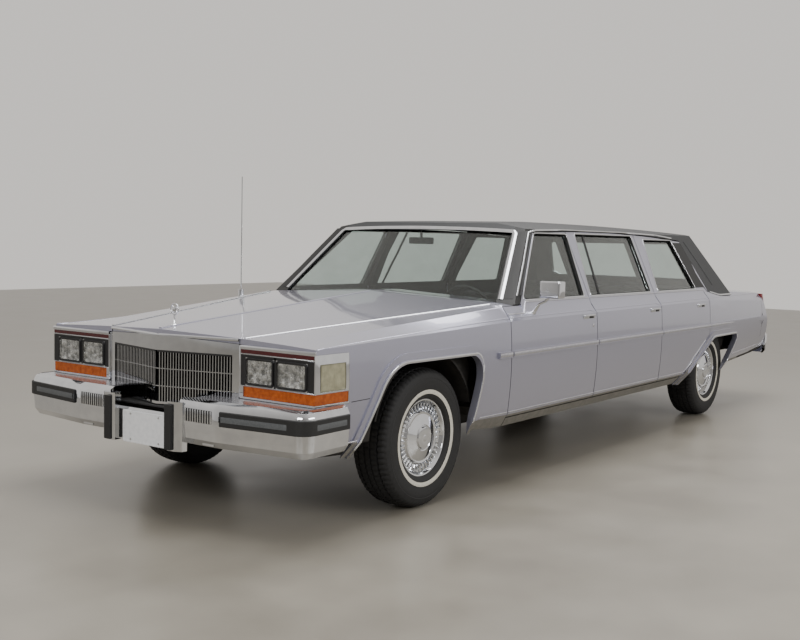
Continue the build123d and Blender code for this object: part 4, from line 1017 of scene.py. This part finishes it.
# padded roof: slanted seam on the sail panel and the bright strip round its foot
seam = [at(-3.72, 1.0, 1.365), at(-3.86, 1.0, 1.2), at(-3.985, 1.0, 1.03)]
laid("SailSeam", "root", vinyl, seam, "roof", 0.005, 0.003, sharp=60)
bm = bmesh.new()
footLine = []
for x in stepped(-3.87, -4.325, 0.03):
    z = 0.93
    while z < 1.08 and treeOf("roof").ray_cast(at(x, 1.6, z), Vector((0, -1, 0)), 0.9)[0] is None:
        z += 0.003
    if z < 1.08:
        footLine.append(at(x, 1.0, z + 0.005))
strip(bm, drape(footLine, treeOf("roof")), 0.006, 0.0045)
both("SailFootStrip", "root", bm, [chrome], 45)

# rear: bright surround of the window, a blank plate, and a rubber face along the bumper
bm = bmesh.new()
windowRing = [at(-4.262, y, 1.052) for y in stepped(-0.6, 0.6, 0.2)]
windowRing += [at(-4.225, 0.662, 1.085), at(-3.975, 0.578, 1.325)]
windowRing += [at(-3.958, y, 1.35) for y in stepped(0.53, -0.53, 0.2)]
windowRing += [at(-3.975, -0.578, 1.325), at(-4.225, -0.662, 1.085)]
found = drape(resample(windowRing + windowRing[:1], 0.05)[:-1], treeOf("roof", "rear_window"), (0.8, 0, -0.6))
strip(bm, found, 0.008, 0.004, closed=True)
keep("rearWindowSurround", "root", bm, [chrome], 45)
bm = bmesh.new()
tailX = hit("tail_panel", at(-7, 0, 0.53), forward).x - axleX
rim = ringPath((-0.152, 0.462), (0.152, 0.612), 0.012)
loop(bm, [[at(tailX + d, y, z) for y, z in rim] for d in (0.001, -0.0012)])
for y in (-0.09, 0.09):
    stud(bm, at(tailX - 0.0012, y, 0.598), (-1, 0, 0), 0.006, 0.002, look=1)
keep("rearPlate", "root", bm, [plateWhite, chrome])
bm = bmesh.new()
bumperGuess = [at(-7.0, y, 0.5) for y in stepped(-0.9, 0.9, 0.1)]
found = [drape([g], treeOf("rear_bumper"), (1, 0, 0))[0] for g in
         [Vector((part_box("rear_bumper")[0].x, g.y, g.z)) for g in bumperGuess]]
strip(bm, [(p + Vector((0.0022, 0, 0)), n) for p, n in found], 0.014, 0.002)
keep("rearBumperBand", "root", bm, [rubber])
bm = bmesh.new()
for z in [0.64 + step * 0.032 for step in range(9)]:
    place = hit("tail_lamps", at(-7, 0.875, z), forward)
    ends = [Vector((place.x, centreY + y, z)) for y in (0.849, 0.901)]
    strip(bm, [(end, Vector((-0.95, 0, 0.3))) for end in ends], 0.0035, 0.0012)
both("TailLampRibs", "root", bm, [redLens])

# inside: rear-view mirror on its stalk
bm = bricks(bmesh.new(), ((-1.205, -0.09, 1.306), (-1.185, 0.09, 1.348), 0.008, 3),
            ((-1.20, -0.008, 1.345), (-1.19, 0.008, 1.392), 0.003))
keep("insideMirror", "root", bm, [blackTrim])
print("trims made")


def cushion(name, low, high, lean, pleats):
    low, high = Vector(low), Vector(high)
    size = high - low
    bm = bmesh.new()
    brick(bm, low + size * 0.02, high - size * 0.02, 0.045, 3)
    for v in bm.verts:
        t = (v.co.z - low.z) / size.z
        v.co.x += -lean * t
    made = keep(name, None, bm, [seatCloth], 60)
    voxel = made.modifiers.new("even", "REMESH")
    voxel.mode = "VOXEL"
    voxel.voxel_size = seatWork["voxel"]
    mesh = bake(made)
    if not mesh.materials:
        mesh.materials.append(seatCloth)
    puff(made)
    centre = (low + high) / 2
    for v in made.data.vertices:
        along = (v.co.y - centre.y) / size.y
        groove = math.exp(-(((along * pleats) % 1 - 0.5) * 9) ** 2)
        faceDepth = seatWork["groove"] * groove
        inward = (centre - v.co)
        inward.y = 0
        if inward.length > 0.001:
            v.co += inward.normalized() * faceDepth
        for axis in (0, 1, 2):
            v.co[axis] = min(max(v.co[axis], seatWork["low"][axis]), seatWork["high"][axis])
    made.data.shade_smooth()
    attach(made, "root")
    return made


clothRules = {"quality": 4, "use_pressure": True, "uniform_pressure_force": 4.0,
              "tension_stiffness": 25, "compression_stiffness": 25, "bending_stiffness": 1.0}


# cloth pressure swells the even mesh; the shape at the last frame is kept
def puff(made):
    scene.frame_start = 1
    scene.frame_end = seatWork["frames"]
    scene.frame_set(1)
    cloth = made.modifiers.new("fill", "CLOTH")
    for key, value in clothRules.items():
        setattr(cloth.settings, key, value)
    cloth.settings.effector_weights.gravity = 0.0
    before = [v.co.copy() for v in made.data.vertices]
    for number in range(1, seatWork["frames"] + 1):
        scene.frame_set(number)
    mesh = bake(made)
    for v, start in zip(mesh.vertices, before):
        moved = v.co - start
        if moved.length > seatWork["cap"]:
            v.co = start + moved.normalized() * seatWork["cap"]
    scene.frame_set(1)


seatWork = {"voxel": 0.016, "groove": 0.010, "frames": 16, "cap": 0.024}
benches = {
    "front_seat": {"deep": 0.52, "half": 0.74, "lean": 0.16, "pleats": 8},
    "middle_seat": {"deep": 0.50, "half": 0.70, "lean": 0.14, "pleats": 8},
    "rear_seat": {"deep": 0.48, "half": 0.60, "lean": 0.12, "pleats": 7},
}
for node, spec in benches.items():
    low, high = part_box(node)
    seatWork["low"] = low - Vector((0.004, 0.004, 0.004))
    seatWork["high"] = high + Vector((0.004, 0.004, 0.004))
    base = cushion(node + ".cushion", (high.x - spec["deep"], low.y + 0.02, low.z + 0.02),
                   (high.x - 0.02, high.y - 0.02, low.z + 0.215), 0, spec["pleats"])
    back = cushion(node + ".back", (low.x + spec["lean"] + 0.03, low.y + 0.02, low.z + 0.2),
                   (low.x + spec["lean"] + 0.19, high.y - 0.02, high.z - 0.02), spec["lean"], spec["pleats"])
    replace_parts(base, node)
print("seats made")

# floor, world and lights
bm = bmesh.new()
bmesh.ops.create_grid(bm, x_segments=1, y_segments=1, size=1)
for v in bm.verts:
    v.co = Vector((v.co.x * 14 - 3.5, v.co.y * 14 - 4.0, 0))
concrete = surface("paleSealedConcrete", ("#827D73", "#908B81"), 0.5, (0.24, 0.4), dent=0.0002)
floor = keep("floor", None, bm, [concrete])
floor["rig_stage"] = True

world = bpy.data.worlds.new("studio")
world.use_nodes = True
sky = world.node_tree
room = sky.nodes["Background"]
room.inputs["Strength"].default_value = 1.15
# the room is a pale wall behind the car and falls off to grey towards its nose
direction = addNode(sky, "ShaderNodeTexCoord")
toNose = addNode(sky, "ShaderNodeVectorMath", {1: (0.86, 0.42, -0.25)}, operation="DOT_PRODUCT")
fall = addNode(sky, "ShaderNodeMapRange", {"From Min": 0.1, "From Max": 0.75})
walls = addNode(sky, "ShaderNodeMix", {6: linear("#DAD6D1"), 7: linear("#8D8A86")}, data_type="RGBA")
wire(sky, (direction, "Generated", toNose, 0), (toNose, "Value", fall, "Value"),
     (fall, "Result", walls, 0), (walls, 2, room, "Color"))
scene.world = world

lights = (
    ("overhead", (0.5, 0.5, 5.2), (0, 0, 0), 7.5, 2.4, 330),
    ("frontSoft", (8.2, 2.2, 3.4), (0, 66, 14), 1.6, 3.6, 170),
    ("sideSoft", (0.5, 7.8, 3.6), (-66, 0, 0), 7.0, 1.2, 210),
)
for name, place, turn, wide, deep, power in lights:
    data = bpy.data.lights.new(name, "AREA")
    data.shape = "RECTANGLE"
    data.size = wide
    data.size_y = deep
    data.energy = power
    lamp = bpy.data.objects.new(name, data)
    lamp.location = place
    lamp.rotation_euler = [math.radians(t) for t in turn]
    scene.collection.objects.link(lamp)
    lamp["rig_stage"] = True

# camera, fitted to the photograph with the wheelbase held at 3.95 m; place in metres from the origin
camera = {"place": (6.5405, 3.811, 1.327), "yaw": 215.80, "pitch": -4.22, "roll": 1.26, "lens": 48.59}


def makeCamera(c):
    yaw, pitch, roll = (math.radians(c[key]) for key in ("yaw", "pitch", "roll"))
    ahead = Vector((math.cos(yaw) * math.cos(pitch), math.sin(yaw) * math.cos(pitch), math.sin(pitch)))
    right = Vector((math.sin(yaw), -math.cos(yaw), 0))
    up = right.cross(ahead)
    tiltedRight = math.cos(roll) * right + math.sin(roll) * up
    tiltedUp = -math.sin(roll) * right + math.cos(roll) * up
    data = bpy.data.cameras.new("camera")
    data.lens = c["lens"]
    data.sensor_width = 36
    data.clip_end = 200
    cam = bpy.data.objects.new("camera", data)
    scene.collection.objects.link(cam)
    turn = Matrix((tiltedRight, tiltedUp, -ahead)).transposed().to_4x4()
    cam.matrix_world = Matrix.Translation(c["place"]) @ turn
    scene.camera = cam


makeCamera(camera)
print("stage and camera set")

# each piece's slot is looked up and counted: a piece that stands for a node by that node's slot, the rest by
# their first finish
slotFinishes = {
    "silver_paint": (paint, shadedLowerPaint), "roof_vinyl": (vinyl,), "glass": (glass,),
    "chrome": (chrome, brushed, satin), "lamp_glass": (lensGlass, cornerGlass, amber, reflector),
    "red_lens": (redLens,), "black_rubber": (rubber, greyBand), "tyre": (tyreRubber, whitewall),
    "chassis_steel": (frameSteel,), "engine_iron": (castIron,), "seat_fabric": (seatCloth, doorCloth),
    "dark_plastic": (blackTrim, radiatorBlack, dashVinyl),
}
slotOf = {finish.name: slot for slot, finishes in slotFinishes.items() for finish in finishes}
nodeSlot = {row["node"]: row["material_slot"] for row in frame["record"]["subparts"]
            if "material_slot" in row}
slotted = 0
for one in scene.objects:
    if one.type != "MESH" or one.name in frame["nodes"] or not one.data.materials:
        continue
    stoodFor = list(one["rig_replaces"]) if "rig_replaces" in one else []
    slot = nodeSlot.get(stoodFor[0]) if stoodFor else slotOf.get(one.data.materials[0].name)
    if slot:
        slotted += 1
print("material slots named on", slotted, "pieces")

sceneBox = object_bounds()
for label, box in (("cad", cadBox), ("scene", sceneBox)):
    print(label, "box", [[round(x, 4) for x in v] for v in box])
